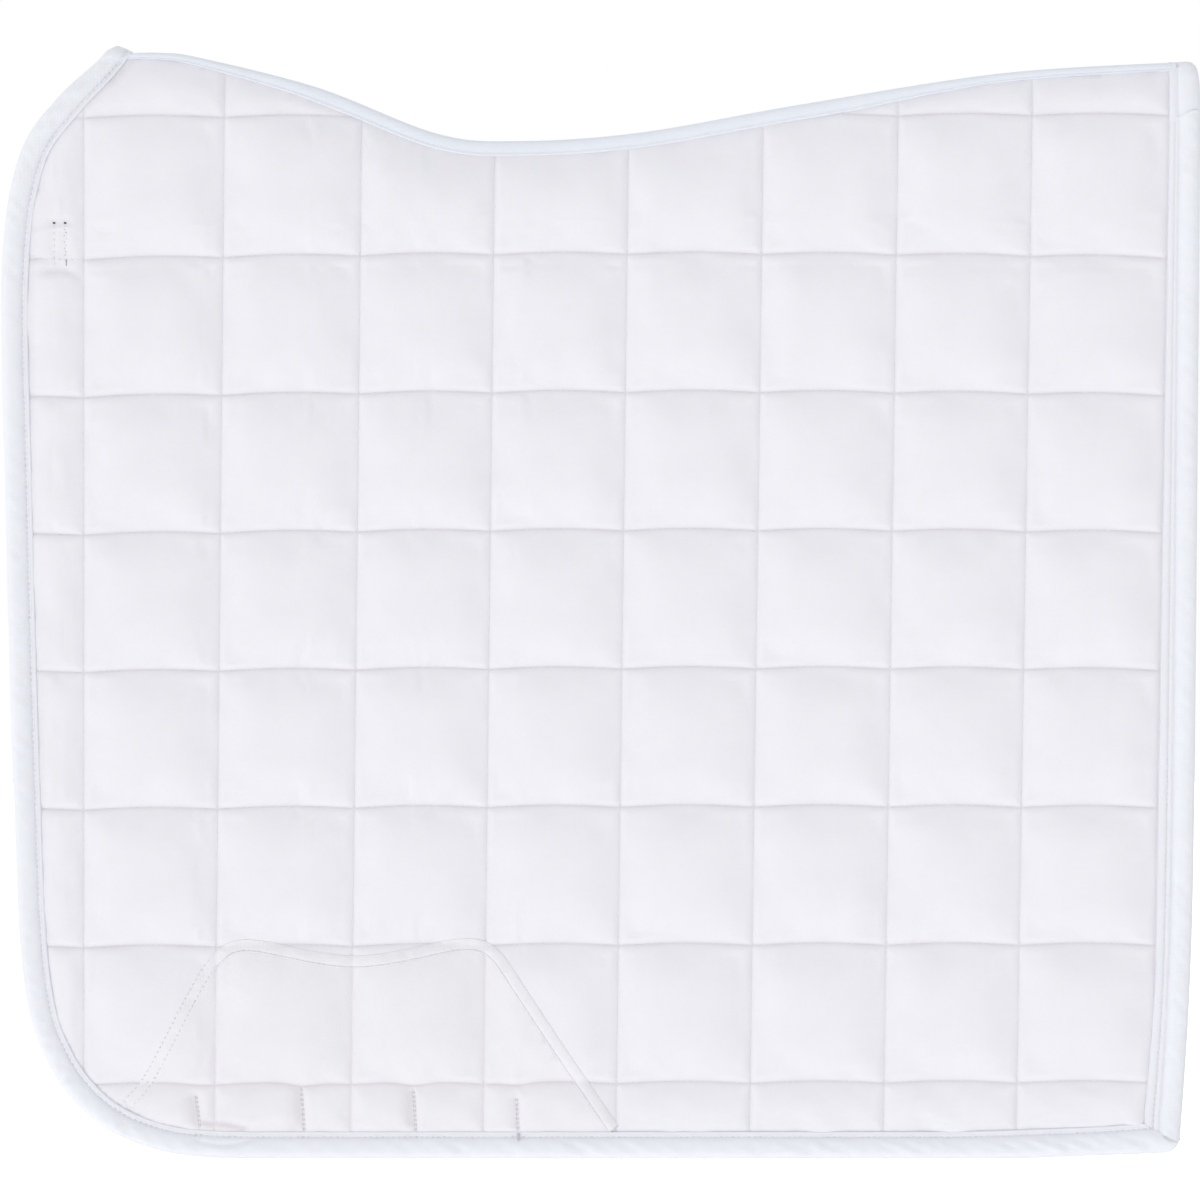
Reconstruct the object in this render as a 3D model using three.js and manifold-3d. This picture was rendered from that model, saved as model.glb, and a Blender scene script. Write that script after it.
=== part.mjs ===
// Quilted dressage saddle pad, folded along its spine so that both halves hang side by side.
// Millimetres, +Z up. -X is the horse's withers, +X its rump, and the halves lie on either side of y = 0.
// The origin is below the middle of the pad, level with its lowest edge.
import * as THREE from "three";
import { mergeVertices } from "three/addons/utils/BufferGeometryUtils.js";
import Module from "manifold-3d";

// ---------------------------------------------------------------- driving dimensions

const REAR_X = 308; // rear edge at its widest
const TOP_Z = 572; // wither peak, the highest point of the fold
const GAP = 0.3; // clearance between pieces that are sewn together
const OVERLAP = 0.2; // how deep a raised part is set into the sheet it stands on
const MARGIN = 1; // how far a cutting body reaches past what it cuts

// Distances of each layer's two faces from the middle plane y = 0.
const LINING = { crown: 4.0, inner: 4.6, outer: 5.2 };
const WADDING = { inner: 5.5, outer: 11.5 };
const PANEL = { inner: 11.8, outer: 12.4, crown: 13.2 };
const PATCH = { inner: 13.5, outer: 14.1 };
const TRIM = { inner: 13.5, outer: 14.9, width: 6.5 };
const BINDING = { inner: 3.1, outer: 13.9, wall: 1.2, width: 13, round: 3.5 };
const THREAD = { width: 1.4, height: 0.6 };

const PANEL_INSET = BINDING.wall + GAP; // sewn edge of the layers, inside the binding
const QUILT_INSET = BINDING.width + 0.6; // where the puffed squares begin, clear of the binding

// Quilting: squares between upright and level seams. Each upright seam has its own place at the fold,
// and leans forward a little as it goes down.
const QUILT = {
  uprightsX: [-335.3, -265.5, -192.9, -122.3, -53.7, 15, 84.2, 153.5, 222.3, 292.3],
  lowZ: 38.4,
  pitchZ: 71,
  seam: 3,
  lean: 5,
  leanStep: 0.57,
};
const QUILT_COLUMNS = 9;
const QUILT_ROWS = 9;

// Spine tape: an arch over the fold with a short leg down each side.
const TAPE = { half: 6, wall: 1.2, drop: 8 };
const CAP = { half: 7, wall: 1.4 };
const FRONT_CAP = { rearX: -240.1, lowZ: 558 };
const REAR_CAP = { frontX: 293.7, lowZ: 539, rise: 0.4, radius: 6 }; // rise is above the spine tape
const SWING_ROOM = 2.4; // the halves swing out from under the tape, so they stop short of it

// Girth loops: one webbing strip sewn down at four upright rows, which leaves three flat loops.
const GIRTH_ROWS_X = [-207.8, -153.2, -95.8, -42.7];
const WEBBING = { inner: 1.3, outer: 2.4, lowZ: 7, topZ: 35.5, end: 6, foot: 6, footLowZ: 17 };
const OUTER_ROW_LOW_Z = 6; // the first and last rows run down over the binding
const INNER_ROW_LOW_Z = 14;

// Strap keeper at the front edge, a flattened loop sewn down with two upright rows.
const KEEPER = { frontX: -285, rearX: -263, lowZ: 458, topZ: 481, inner: 1.3, outer: 3.7, wall: 0.7 };
const KEEPER_ROWS_X = [-281.7, -275.3];

// ---------------------------------------------------------------- outline curves, in the XZ plane

const point = ([x, z]) => new THREE.Vector2(x, z);
const curve = (knots) => new THREE.SplineCurve(knots.map(point));

// From the wither peak down the front edge and round the lower front corner.
const frontEdge = curve([
  [-249, TOP_Z],
  [-278, 546],
  [-299, 514],
  [-307.7, 455],
  [-306, 345],
  [-302, 200],
  [-297, 96],
  [-284, 49],
  [-258, 18],
  [-222, 3],
  [-180, 0],
]);

// Up the rear edge from the lower corner.
const rearEdge = curve([
  [299, 9],
  [304.5, 150],
  [307, 390],
  [REAR_X, 520],
  [REAR_X, 556],
]);
const REAR_CORNER = 8; // radius of the lower rear corner

// Along the fold from the front cap to the rear cap: high withers, a dip behind them, a slow rise.
const spineLine = curve([
  [FRONT_CAP.rearX + GAP, 570.4],
  [-206, 566],
  [-145, 550.5],
  [-84, 527],
  [-42, 523.2],
  [20, 527.5],
  [103, 542],
  [206, 558],
  [REAR_CAP.frontX - GAP, 563.6],
]);
const FRONT_STEPS = 26;
const REAR_STEPS = 6;
const SPINE_STEPS = 34;
const TRIM_SIDE_STEPS = 4;
const TRIM_TOP_STEPS = 14;
const CORNER_DEGREES = [-90, -60, -30, 0];
const SMALLEST_CORNER = 0.5;
const ROUNDING_SEGMENTS = 2;
const ABOVE_ALL = TOP_Z + 30;

// Centre line of the tape round the girth patch, from the lower front corner over the scalloped top.
const trimLine = [
  ...curve([
    [-243, 18],
    [-223, 56],
    [-202, 97],
  ]).getPoints(TRIM_SIDE_STEPS),
  ...curve([
    [-197, 103],
    [-181, 109.5],
    [-126, 101],
    [-71, 110],
    [-56, 106.5],
  ]).getPoints(TRIM_TOP_STEPS),
  ...curve([
    [-51, 101],
    [-22, 57],
    [10, 10],
  ]).getPoints(TRIM_SIDE_STEPS),
];

// Moves each point of an open line sideways, to the left of its direction, keeping corners mitred.
function offsetLine(points, distance) {
  return points.map((here, i) => {
    const before = points[Math.max(i - 1, 0)];
    const after = points[Math.min(i + 1, points.length - 1)];
    const entering = here.clone().sub(before);
    const leaving = after.clone().sub(here);
    if (i === 0) entering.copy(leaving);
    if (i === points.length - 1) leaving.copy(entering);
    const first = new THREE.Vector2(-entering.y, entering.x).normalize();
    const second = new THREE.Vector2(-leaving.y, leaving.x).normalize();
    const mitre = first.clone().add(second).normalize();
    return here.clone().addScaledVector(mitre, distance / mitre.dot(second));
  });
}

// The pad's outline moved inwards, left open upwards: the fold is cut out of it afterwards.
function edgeOutline(inset) {
  const front = offsetLine(frontEdge.getPoints(FRONT_STEPS), inset);
  const rear = offsetLine(rearEdge.getPoints(REAR_STEPS), inset);
  const radius = Math.max(REAR_CORNER - inset, SMALLEST_CORNER);
  const cornerX = rear[0].x - radius;
  const cornerZ = inset + radius;
  const corner = CORNER_DEGREES.map((degrees) => {
    const angle = THREE.MathUtils.degToRad(degrees);
    return new THREE.Vector2(cornerX + radius * Math.cos(angle), cornerZ + radius * Math.sin(angle));
  });
  const above = [
    new THREE.Vector2(rear.at(-1).x, ABOVE_ALL),
    new THREE.Vector2(front[0].x, ABOVE_ALL),
  ];
  return [...front, ...corner, ...rear.filter((p) => p.y > cornerZ + MARGIN), ...above];
}

// ---------------------------------------------------------------- solids

const wasm = await Module();
wasm.setup();

function solid(geometry) {
  const bare = geometry.index ? geometry.toNonIndexed() : geometry.clone();
  bare.deleteAttribute("normal");
  bare.deleteAttribute("uv");
  const merged = mergeVertices(bare, 1e-3);
  return new wasm.Manifold(
    new wasm.Mesh({
      numProp: 3,
      vertProperties: merged.attributes.position.array,
      triVerts: new Uint32Array(merged.index.array),
    }),
  );
}

function geometryOf(body) {
  const mesh = body.getMesh();
  const geometry = new THREE.BufferGeometry();
  geometry.setAttribute("position", new THREE.BufferAttribute(mesh.vertProperties, 3));
  geometry.setIndex(new THREE.BufferAttribute(mesh.triVerts, 1));
  return geometry.toNonIndexed();
}

const joined = (bodies) => bodies.reduce((whole, body) => whole.add(body));

// A flat sheet of an XZ outline on the left (-Y) side, between two distances from the middle plane.
function sheet(points, inner, outer) {
  const geometry = new THREE.ExtrudeGeometry(new THREE.Shape(points), {
    depth: outer - inner,
    bevelEnabled: false,
  });
  geometry.rotateX(Math.PI / 2);
  geometry.translate(0, -inner, 0);
  return solid(geometry);
}

// The same sheet with both rims rounded over.
function roundedSheet(points, inner, outer, radius) {
  const geometry = new THREE.ExtrudeGeometry(new THREE.Shape(points), {
    depth: outer - inner - 2 * radius,
    bevelThickness: radius,
    bevelSize: radius,
    bevelOffset: -radius,
    bevelSegments: ROUNDING_SEGMENTS,
  });
  geometry.rotateX(Math.PI / 2);
  geometry.translate(0, -inner - radius, 0);
  return solid(geometry);
}

// A block between two corners, given as distances along X, outwards from the middle plane and up Z.
function block(x0, x1, inner, outer, z0, z1) {
  const geometry = new THREE.BoxGeometry(x1 - x0, outer - inner, z1 - z0);
  geometry.translate((x0 + x1) / 2, -(inner + outer) / 2, (z0 + z1) / 2);
  return solid(geometry);
}

// Everything above the folded seam, which belongs to the spine and not to the halves.
function spineZone() {
  const drop = TAPE.drop + SWING_ROOM;
  const line = spineLine.getPoints(SPINE_STEPS).map((p) => new THREE.Vector2(p.x, p.y - drop));
  const frontLow = FRONT_CAP.lowZ - SWING_ROOM;
  const rearLow = REAR_CAP.lowZ - SWING_ROOM;
  const frontX = FRONT_CAP.rearX + GAP;
  const rearX = REAR_CAP.frontX - GAP;
  const outline = [
    new THREE.Vector2(-2 * REAR_X, ABOVE_ALL + MARGIN),
    new THREE.Vector2(-2 * REAR_X, frontLow),
    new THREE.Vector2(frontX, frontLow),
    ...line,
    new THREE.Vector2(rearX, rearLow),
    new THREE.Vector2(2 * REAR_X, rearLow),
    new THREE.Vector2(2 * REAR_X, ABOVE_ALL + MARGIN),
  ];
  return sheet(outline, -BINDING.outer, 2 * BINDING.outer);
}
const aboveFold = spineZone();

function seamX(column, z) {
  const lean = column < 1 ? 0 : QUILT.lean + QUILT.leanStep * column;
  return QUILT.uprightsX[column + 1] - (lean * (TOP_Z - z)) / TOP_Z;
}

// Everything the binding leaves free, between two distances from the middle plane.
const insideBinding = (inner, outer) => sheet(edgeOutline(QUILT_INSET), inner - MARGIN, outer + MARGIN);

// The puffed squares between the quilting seams, cut to the pad's outline.
function quiltSquares(inner, outer) {
  const squares = [];
  const half = QUILT.seam / 2;
  for (let column = -1; column < QUILT_COLUMNS - 1; column++) {
    for (let row = -1; row < QUILT_ROWS - 1; row++) {
      const low = QUILT.lowZ + QUILT.pitchZ * row + half;
      const high = low + QUILT.pitchZ - QUILT.seam;
      const corners = [
        [seamX(column, low) + half, low],
        [seamX(column + 1, low) - half, low],
        [seamX(column + 1, high) - half, high],
        [seamX(column, high) + half, high],
      ];
      squares.push(sheet(corners.map(point), inner, outer));
    }
  }
  return joined(squares).intersect(insideBinding(inner, outer));
}

// ---------------------------------------------------------------- pieces of the left half

function outerPanel() {
  const base = sheet(edgeOutline(PANEL_INSET), PANEL.inner, PANEL.outer);
  return base.add(quiltSquares(PANEL.outer - OVERLAP, PANEL.crown)).subtract(aboveFold);
}

function wadding() {
  return sheet(edgeOutline(PANEL_INSET), WADDING.inner, WADDING.outer).subtract(aboveFold);
}

function lining() {
  const base = sheet(edgeOutline(PANEL_INSET), LINING.inner, LINING.outer);
  return base.add(quiltSquares(LINING.crown, LINING.inner + OVERLAP)).subtract(aboveFold);
}

// A channel folded round the front, lower and rear edges.
function edgeBinding() {
  const roll = roundedSheet(edgeOutline(0), BINDING.inner, BINDING.outer, BINDING.round);
  const middle = sheet(edgeOutline(BINDING.width), BINDING.inner - MARGIN, BINDING.outer + MARGIN);
  const slot = sheet(
    edgeOutline(BINDING.wall),
    BINDING.inner + BINDING.wall,
    BINDING.outer - BINDING.wall,
  );
  return roll.subtract(middle).subtract(slot).subtract(aboveFold);
}

function girthPatch() {
  const rim = offsetLine(trimLine, -(TRIM.width / 2 + GAP));
  return sheet(rim, PATCH.inner, PATCH.outer).intersect(insideBinding(PATCH.inner, PATCH.outer));
}

function patchTrim() {
  const outside = offsetLine(trimLine, TRIM.width / 2);
  const inside = offsetLine(trimLine, -TRIM.width / 2);
  const band = sheet([...outside, ...inside.reverse()], TRIM.inner, TRIM.outer);
  return band.intersect(insideBinding(TRIM.inner, TRIM.outer));
}

// Webbing strip on the horse's side, with a sewn foot at each row of stitches.
function girthWebbing() {
  const { inner, outer, lowZ, topZ, end, foot, footLowZ } = WEBBING;
  const first = GIRTH_ROWS_X[0] - end;
  const last = GIRTH_ROWS_X.at(-1) + end;
  const strip = block(first, last, inner, outer, lowZ, topZ);
  const feet = GIRTH_ROWS_X.map((x) =>
    block(x - foot / 2, x + foot / 2, outer - OVERLAP, LINING.crown - GAP, footLowZ, topZ),
  );
  return joined([strip, ...feet]);
}

function strapKeeper() {
  const { frontX, rearX, lowZ, topZ, inner, outer, wall } = KEEPER;
  const loop = block(frontX, rearX, inner, outer, lowZ, topZ);
  const opening = block(frontX + wall, rearX - wall, inner + wall, outer - wall, lowZ - MARGIN, topZ + MARGIN);
  return loop.subtract(opening);
}

// One upright row of stitches on the saddle side.
function stitchRow(x, inner, lowZ, topZ) {
  const half = THREAD.width / 2;
  return block(x - half, x + half, inner, inner + THREAD.height, lowZ, topZ);
}

// ---------------------------------------------------------------- pieces of the spine

// An upside-down U in the YZ plane, with its crown at the origin.
function archShape(half, wall, drop) {
  const shape = new THREE.Shape();
  shape.moveTo(half, -drop);
  shape.lineTo(half, -half);
  shape.absarc(0, -half, half, 0, Math.PI, false);
  shape.lineTo(-half, -drop);
  shape.lineTo(wall - half, -drop);
  shape.lineTo(wall - half, -half);
  shape.absarc(0, -half, half - wall, Math.PI, 0, true);
  shape.lineTo(half - wall, -drop);
  return shape;
}

// The fold line as a path whose samples are the spline's own.
class FoldPath extends THREE.Curve {
  constructor(drop) {
    super();
    this.drop = drop;
  }
  getPoint(t, target = new THREE.Vector3()) {
    const p = spineLine.getPoint(t);
    return target.set(p.x, 0, p.y - this.drop);
  }
  getPointAt(t, target) {
    return this.getPoint(t, target);
  }
  getTangentAt(t, target) {
    return this.getTangent(t, target);
  }
}

// Sweeps a section along the fold and trims it square between the caps. Its x is across the pad, its y up.
function alongFold(section, drop) {
  const down = new THREE.Shape(section.map((p) => new THREE.Vector2(p.x, -p.y)));
  const swept = new THREE.ExtrudeGeometry(down, {
    extrudePath: new FoldPath(drop),
    steps: SPINE_STEPS,
    bevelEnabled: false,
  });
  const { half } = CAP;
  const frontX = FRONT_CAP.rearX + GAP;
  const rearX = REAR_CAP.frontX - GAP;
  return solid(swept).intersect(block(frontX, rearX, -half, half, 0, ABOVE_ALL));
}

const ARCH_SEGMENTS = 3;

function spineTape() {
  return alongFold(archShape(TAPE.half, TAPE.wall, TAPE.drop).getPoints(ARCH_SEGMENTS), 0);
}

// Flat tape under the fold that covers the raw seam on the horse's side.
function spineLiningTape() {
  const half = TAPE.half - TAPE.wall - GAP;
  const corners = [
    [-half, -TAPE.wall],
    [half, -TAPE.wall],
    [half, 0],
    [-half, 0],
  ];
  return alongFold(corners.map(point), TAPE.drop - TAPE.wall);
}

// A short length of binding over the fold, cut to the pad's outline.
function bindingCap(x0, x1, crownZ, lowZ) {
  const geometry = new THREE.ExtrudeGeometry(archShape(CAP.half, CAP.wall, crownZ - lowZ), {
    depth: x1 - x0,
    bevelEnabled: false,
    curveSegments: 2 * ARCH_SEGMENTS,
  });
  geometry.rotateX(Math.PI / 2);
  geometry.rotateZ(Math.PI / 2);
  geometry.translate(x0, 0, crownZ);
  return solid(geometry);
}

function frontBindingCap() {
  const cap = bindingCap(-REAR_X, FRONT_CAP.rearX, TOP_Z, FRONT_CAP.lowZ);
  return cap.intersect(sheet(edgeOutline(0), -2 * CAP.half, 2 * CAP.half));
}

function rearBindingCap() {
  const { radius } = REAR_CAP;
  const crownZ = spineLine.getPoint(1).y + REAR_CAP.rise;
  const outline = new THREE.Shape();
  outline.moveTo(REAR_CAP.frontX, REAR_CAP.lowZ - MARGIN);
  outline.lineTo(REAR_X, REAR_CAP.lowZ - MARGIN);
  outline.lineTo(REAR_X, crownZ - radius);
  outline.absarc(REAR_X - radius, crownZ - radius, radius, 0, Math.PI / 2, false);
  outline.lineTo(REAR_CAP.frontX, crownZ + MARGIN);
  const cap = bindingCap(REAR_CAP.frontX, REAR_X, crownZ, REAR_CAP.lowZ);
  return cap.intersect(sheet(outline.getPoints(4), -2 * CAP.half, 2 * CAP.half));
}

// ---------------------------------------------------------------- assembly

const cloth = (color, roughness) => new THREE.MeshStandardMaterial({ color, roughness, metalness: 0 });
const COTTON = cloth(0xebebf1, 0.85);
const FILLING = cloth(0xf6f6f4, 0.95);
const LINING_COTTON = cloth(0xe8e9ee, 0.9);
const PATCH_COTTON = cloth(0xecebf0, 0.8);
const TAPE_COTTON = cloth(0xe6e8f0, 0.7);
const WEBBING_COTTON = cloth(0xe2e3ea, 0.75);
const STITCHING = cloth(0xf2f2f4, 0.6);

function meshOf(name, body, material) {
  const mesh = new THREE.Mesh(geometryOf(body), material);
  mesh.geometry.computeVertexNormals();
  mesh.name = name;
  return mesh;
}

// Name, solid and material of every piece of one half.
function halfPieces() {
  const patchRow = PATCH.outer + GAP;
  const panelRow = PANEL.crown + GAP;
  const girthRows = GIRTH_ROWS_X.map((x, i) => {
    const atEnd = i === 0 || i === GIRTH_ROWS_X.length - 1;
    const lowZ = atEnd ? OUTER_ROW_LOW_Z : INNER_ROW_LOW_Z;
    return ["girth_tack_" + (i + 1), stitchRow(x, patchRow, lowZ, WEBBING.topZ), STITCHING];
  });
  const keeperRows = ["front", "rear"].map((place, i) => [
    "keeper_tack_" + place,
    stitchRow(KEEPER_ROWS_X[i], panelRow, KEEPER.lowZ, KEEPER.topZ),
    STITCHING,
  ]);
  return [
    ["outer_panel", outerPanel(), COTTON],
    ["wadding", wadding(), FILLING],
    ["lining", lining(), LINING_COTTON],
    ["girth_patch", girthPatch(), PATCH_COTTON],
    ["patch_trim", patchTrim(), TAPE_COTTON],
    ["edge_binding", edgeBinding(), TAPE_COTTON],
    ["girth_webbing", girthWebbing(), WEBBING_COTTON],
    ["strap_keeper", strapKeeper(), WEBBING_COTTON],
    ...girthRows,
    ...keeperRows,
  ];
}

const saddlePad = new THREE.Group();
const pieces = halfPieces();
for (const [side, mirror] of [
  ["left", 1],
  ["right", -1],
]) {
  const half = new THREE.Group();
  half.scale.y = mirror;
  for (const [name, body, material] of pieces) {
    half.add(meshOf(side + "_" + name, body, material));
  }
  saddlePad.add(half);
}
saddlePad.add(meshOf("spine_tape", spineTape(), TAPE_COTTON));
saddlePad.add(meshOf("spine_lining_tape", spineLiningTape(), TAPE_COTTON));
saddlePad.add(meshOf("front_binding_cap", frontBindingCap(), TAPE_COTTON));
saddlePad.add(meshOf("rear_binding_cap", rearBindingCap(), TAPE_COTTON));

export default saddlePad;
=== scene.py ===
"""Quilted dressage saddle pad, folded along its spine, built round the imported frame.

Outline lengths are in millimetres of the frame (+Z up, withers towards -X) and become metres when a
mesh is made. A "level" is the distance of a surface from the middle plane y = 0: each half is worked
out in levels and then put on the left (-Y) or right (+Y) side. An "inset" is a distance from the
pad's edge.
"""
import math

import bpy
import numpy as np
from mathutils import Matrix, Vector


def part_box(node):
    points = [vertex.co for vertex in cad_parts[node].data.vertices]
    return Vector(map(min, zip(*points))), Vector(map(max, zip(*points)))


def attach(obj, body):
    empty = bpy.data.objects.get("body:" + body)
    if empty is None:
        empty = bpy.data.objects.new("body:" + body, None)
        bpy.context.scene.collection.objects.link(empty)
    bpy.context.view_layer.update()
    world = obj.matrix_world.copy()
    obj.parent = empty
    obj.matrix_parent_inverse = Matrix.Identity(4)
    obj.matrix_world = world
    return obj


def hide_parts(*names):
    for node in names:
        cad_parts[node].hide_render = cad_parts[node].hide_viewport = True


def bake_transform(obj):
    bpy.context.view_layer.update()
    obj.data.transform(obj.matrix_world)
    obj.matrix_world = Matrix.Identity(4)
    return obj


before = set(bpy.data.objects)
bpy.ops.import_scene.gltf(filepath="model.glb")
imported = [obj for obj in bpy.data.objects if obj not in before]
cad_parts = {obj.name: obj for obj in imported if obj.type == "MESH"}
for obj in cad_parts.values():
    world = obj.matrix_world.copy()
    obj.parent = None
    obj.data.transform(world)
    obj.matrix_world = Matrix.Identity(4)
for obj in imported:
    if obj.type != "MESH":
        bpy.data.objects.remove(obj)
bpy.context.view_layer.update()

MM = 0.001


def cad_mm(node, corner, axis):
    """One coordinate of a CAD node's box in mm; corner 0 is its low corner, 1 its high corner."""
    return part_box(node)[corner]["xyz".index(axis)] / MM


# ---- driving dimensions (mm)

TOP_Z = cad_mm("front_binding_cap", 1, "z")
REAR_X = cad_mm("rear_binding_cap", 1, "x")
TAPE_FRONT_X = cad_mm("spine_tape", 0, "x")
TAPE_REAR_X = cad_mm("spine_tape", 1, "x")
REAR_CAP_LOW_Z = cad_mm("rear_binding_cap", 0, "z")
LINING_LEVEL = cad_mm("right_lining", 0, "y")
PANEL_LEVEL = cad_mm("right_outer_panel", 1, "y")

MID_LEVEL = 8.1  # middle of one half's thickness
SEAM_LEVEL = 0.5  # half the thickness left where a seam squeezes the layers together
PUFF_OUT = PANEL_LEVEL + 0.6 - MID_LEVEL - SEAM_LEVEL
PUFF_IN = MID_LEVEL - SEAM_LEVEL - LINING_LEVEL
FOLD_LEVEL = 3.2  # middle of each half where the two meet under the spine tape
FOLD_REACH = 34  # how far below the fold the halves have reached their full spacing
CLOTH = 0.6  # thickness of the cotton

# Upright seams at the fold, from column -1 on.
UPRIGHTS_X = (-335.3, -265.5, -192.9, -122.3, -53.7, 15, 84.2, 153.5, 222.3, 292.3, 362)
QUILT_PITCH_X = 69.8
QUILT_LOW_Z = 38.4
QUILT_PITCH_Z = 71.0
QUILT_TILT = 0.7  # how far a level seam climbs from the middle of the pad to its rear edge
QUILT_ARCH = 3.6  # how far the level seams near the fold droop towards the front and the rear
HALF_LENGTH = 300
LAST_LEVEL_Z = QUILT_LOW_Z + 7 * QUILT_PITCH_Z  # the top level seam, which is straight again
QUILT_LEAN = 5  # how far the foot of an upright seam stands in front of its head
QUILT_LEAN_STEP = 0.57  # added for every column
QUILT_BOW = 1.3  # how far a level seam bows up between two uprights
REAR_SEAM = 8  # the upright seam beside the rear binding

ROLL = 10.8  # width of the binding's round part
LIP = 3.2  # width of its flat sewn lip
REAR_CORNER = 8  # radius of the lower rear corner
CORNER_CLIMB = 3.0  # how far the bottom edge climbs towards that corner
CLIMB_FROM_X = 195
LIP_CLIMB = 3.4  # how far the bottom lip climbs
LIP_CLIMB_FROM_X = 180
CORNER_RISE = 1.0  # how much further the lip climbs to meet the rear strip's lip
REAR_TOP_Z = REAR_CAP_LOW_Z - 1.3  # folded end of the rear strip
REAR_OVERLAP = 3.0  # how far the rear cap runs on under that end
TRIM_WIDTH = 6.5
TRIM_STITCHES = 0.77  # place of the trim's stitched rows, as a share of its half width
FLUSH_SHARE = 0.27  # share of the trim's length that lies flush, from its front end
PATCH_RISE = 0.45  # how far the patch stands over the panel
GIRTH_ROWS_X = (-206.8, -152.9, -95.5, -42.6)
GIRTH_ROWS_TOP = (32.4, 36.5, 35.2, 31.2)
GIRTH_ROWS_LOW = (16, 13.8, 13.8, 8.7)
GIRTH_LEAN = (1.0, 0.75, 0.6, 0.6)  # how far the foot of a row stands behind its head, halved
GIRTH_SAG = (0.5, 1.9, 1.9, 1.5)  # how far each row pulls the level seam down
GIRTH_DENTS = (0.3, 0.3, 0.3, 0.6)  # how deep each row dents the binding
GIRTH_REACH = 7  # how far from a girth row the padding has regained most of its height
KEEPER_ROWS_X = (-280.6, -274.9)
KEEPER_ROWS_Z = (458, 480.5)
KEEPER_ZIGZAG = 0.7
KEEPER_MIDDLE_X = -275
KEEPER_X = (-285, -263)
WEBBING_Z = (9, 34.5)
WEBBING_THICK = 1.1
WEBBING_LEVEL = 2.4  # of a loop's face
WEBBING_CAUGHT = 3.6  # how far the webbing is drawn outwards at a stitched row
WEBBING_RIB = 0.14  # half the depth of a rib
WEBBING_RIBS = 10

FRONT_EDGE = (
    (-249, TOP_Z), (-278, 546), (-299, 514), (-307.7, 455), (-306, 345), (-302, 200),
    (-297, 96), (-284, 49), (-258, 18), (-222, 3), (-180, 0),
)
REAR_EDGE = ((297.6, 9), (302.4, 81), (304.9, 170), (307, 390), (REAR_X, 520), (REAR_X, 556))
SPINE = (
    (TAPE_FRONT_X - 5.5, 568.3), (-226, 568.6), (-206, 566), (-145, 550.5), (-84, 527), (-42, 523.2),
    (20, 527.5), (103, 542), (206, 558), (TAPE_REAR_X + 2.5, 563.7),
)
# How much of the tape's leg shows: x, depth below the fold.
TAPE_DEPTH = (
    (-240, 3.4), (-206, 4.6), (-175, 6.0), (-140, 8.0), (130, 8.0), (165, 6.2), (200, 4.8), (294, 4.4),
)
TRIM_LEFT = ((-244.5, 27), (-232, 41.2), (-211, 81), (-202, 97))
TRIM_TOP = ((-197, 103), (-181, 109.5), (-126, 101), (-71, 110), (-56, 106.5))
TRIM_RIGHT = ((-51, 101), (-22, 57), (10, 10))
TRIM_LOW_Z = 14.9
TRIM_FRONT_X = -244.5
# The rear strip of the binding laps over the bottom one along the line between these two points.
MITRE = ((277.8, 18.0), (297.5, 7.4))

# ---- curves

EDGE_STEP = 1.6  # spacing of points along the outline
BOTTOM_STEPS = 300
REAR_STEPS = 330


def spline(knots, steps=300):
    """Uniform Catmull-Rom curve through the knots, as points."""
    p = np.array(knots, float)
    padded = np.vstack([p[:1], p, p[-1:]])
    t = np.linspace(0, len(p) - 1, steps + 1)
    i = np.minimum(t.astype(int), len(p) - 2)
    w = (t - i)[:, None]
    p0, p1, p2, p3 = padded[i], padded[i + 1], padded[i + 2], padded[i + 3]
    v0 = (p2 - p0) / 2
    v1 = (p3 - p1) / 2
    return (2 * p1 - 2 * p2 + v0 + v1) * w**3 + (3 * p2 - 3 * p1 - 2 * v0 - v1) * w**2 + v0 * w + p1


def lengths_along(points):
    return np.concatenate([[0], np.cumsum(np.linalg.norm(np.diff(points, axis=0), axis=1))])


def evenly(points, step):
    """The same line with evenly spaced points, about step apart."""
    points = np.asarray(points, float)
    along = lengths_along(points)
    count = max(int(round(along[-1] / step)), 2)
    at = np.linspace(0, along[-1], count + 1)
    return np.column_stack([np.interp(at, along, points[:, k]) for k in range(points.shape[1])])


def with_level(line, level):
    """Points (x, level, z) from a line of (x, z)."""
    return np.insert(line, 1, level, axis=1)


def left_normals(points):
    d = np.gradient(points, axis=0)
    n = np.column_stack([-d[:, 1], d[:, 0]])
    return n / np.linalg.norm(n, axis=1)[:, None]


front_line = evenly(spline(FRONT_EDGE), EDGE_STEP)
front_normal = left_normals(front_line)
rear_line = spline(REAR_EDGE)
spine_line = evenly(spline(SPINE), EDGE_STEP)


def rear_x(z):
    return np.interp(z, rear_line[:, 1], rear_line[:, 0])


def spine_z(x):
    return np.interp(x, spine_line[:, 0], spine_line[:, 1])


def below_fold(x, z):
    """Distance of a place from the fold line, positive below it."""
    return (spine_z(x) - z) * np.interp(x, spine_line[:, 0], left_normals(spine_line)[:, 1])


def tape_depth(x):
    return np.interp(x, *np.array(TAPE_DEPTH).T)


def mitre_z(x):
    (x0, z0), (x1, z1) = MITRE
    return z0 + (z1 - z0) * (x - x0) / (x1 - x0)


def bottom_z(x):
    """Height of the bottom edge, which climbs a little and then turns up round the rear corner."""
    over = np.clip(np.asarray(x) - (REAR_EDGE[0][0] - REAR_CORNER), 0, REAR_CORNER - 0.01)
    climb = CORNER_CLIMB * (np.clip(np.asarray(x) - CLIMB_FROM_X, 0, 100) / 100) ** 1.4
    return climb + REAR_CORNER - np.sqrt(REAR_CORNER**2 - over**2)


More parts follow.
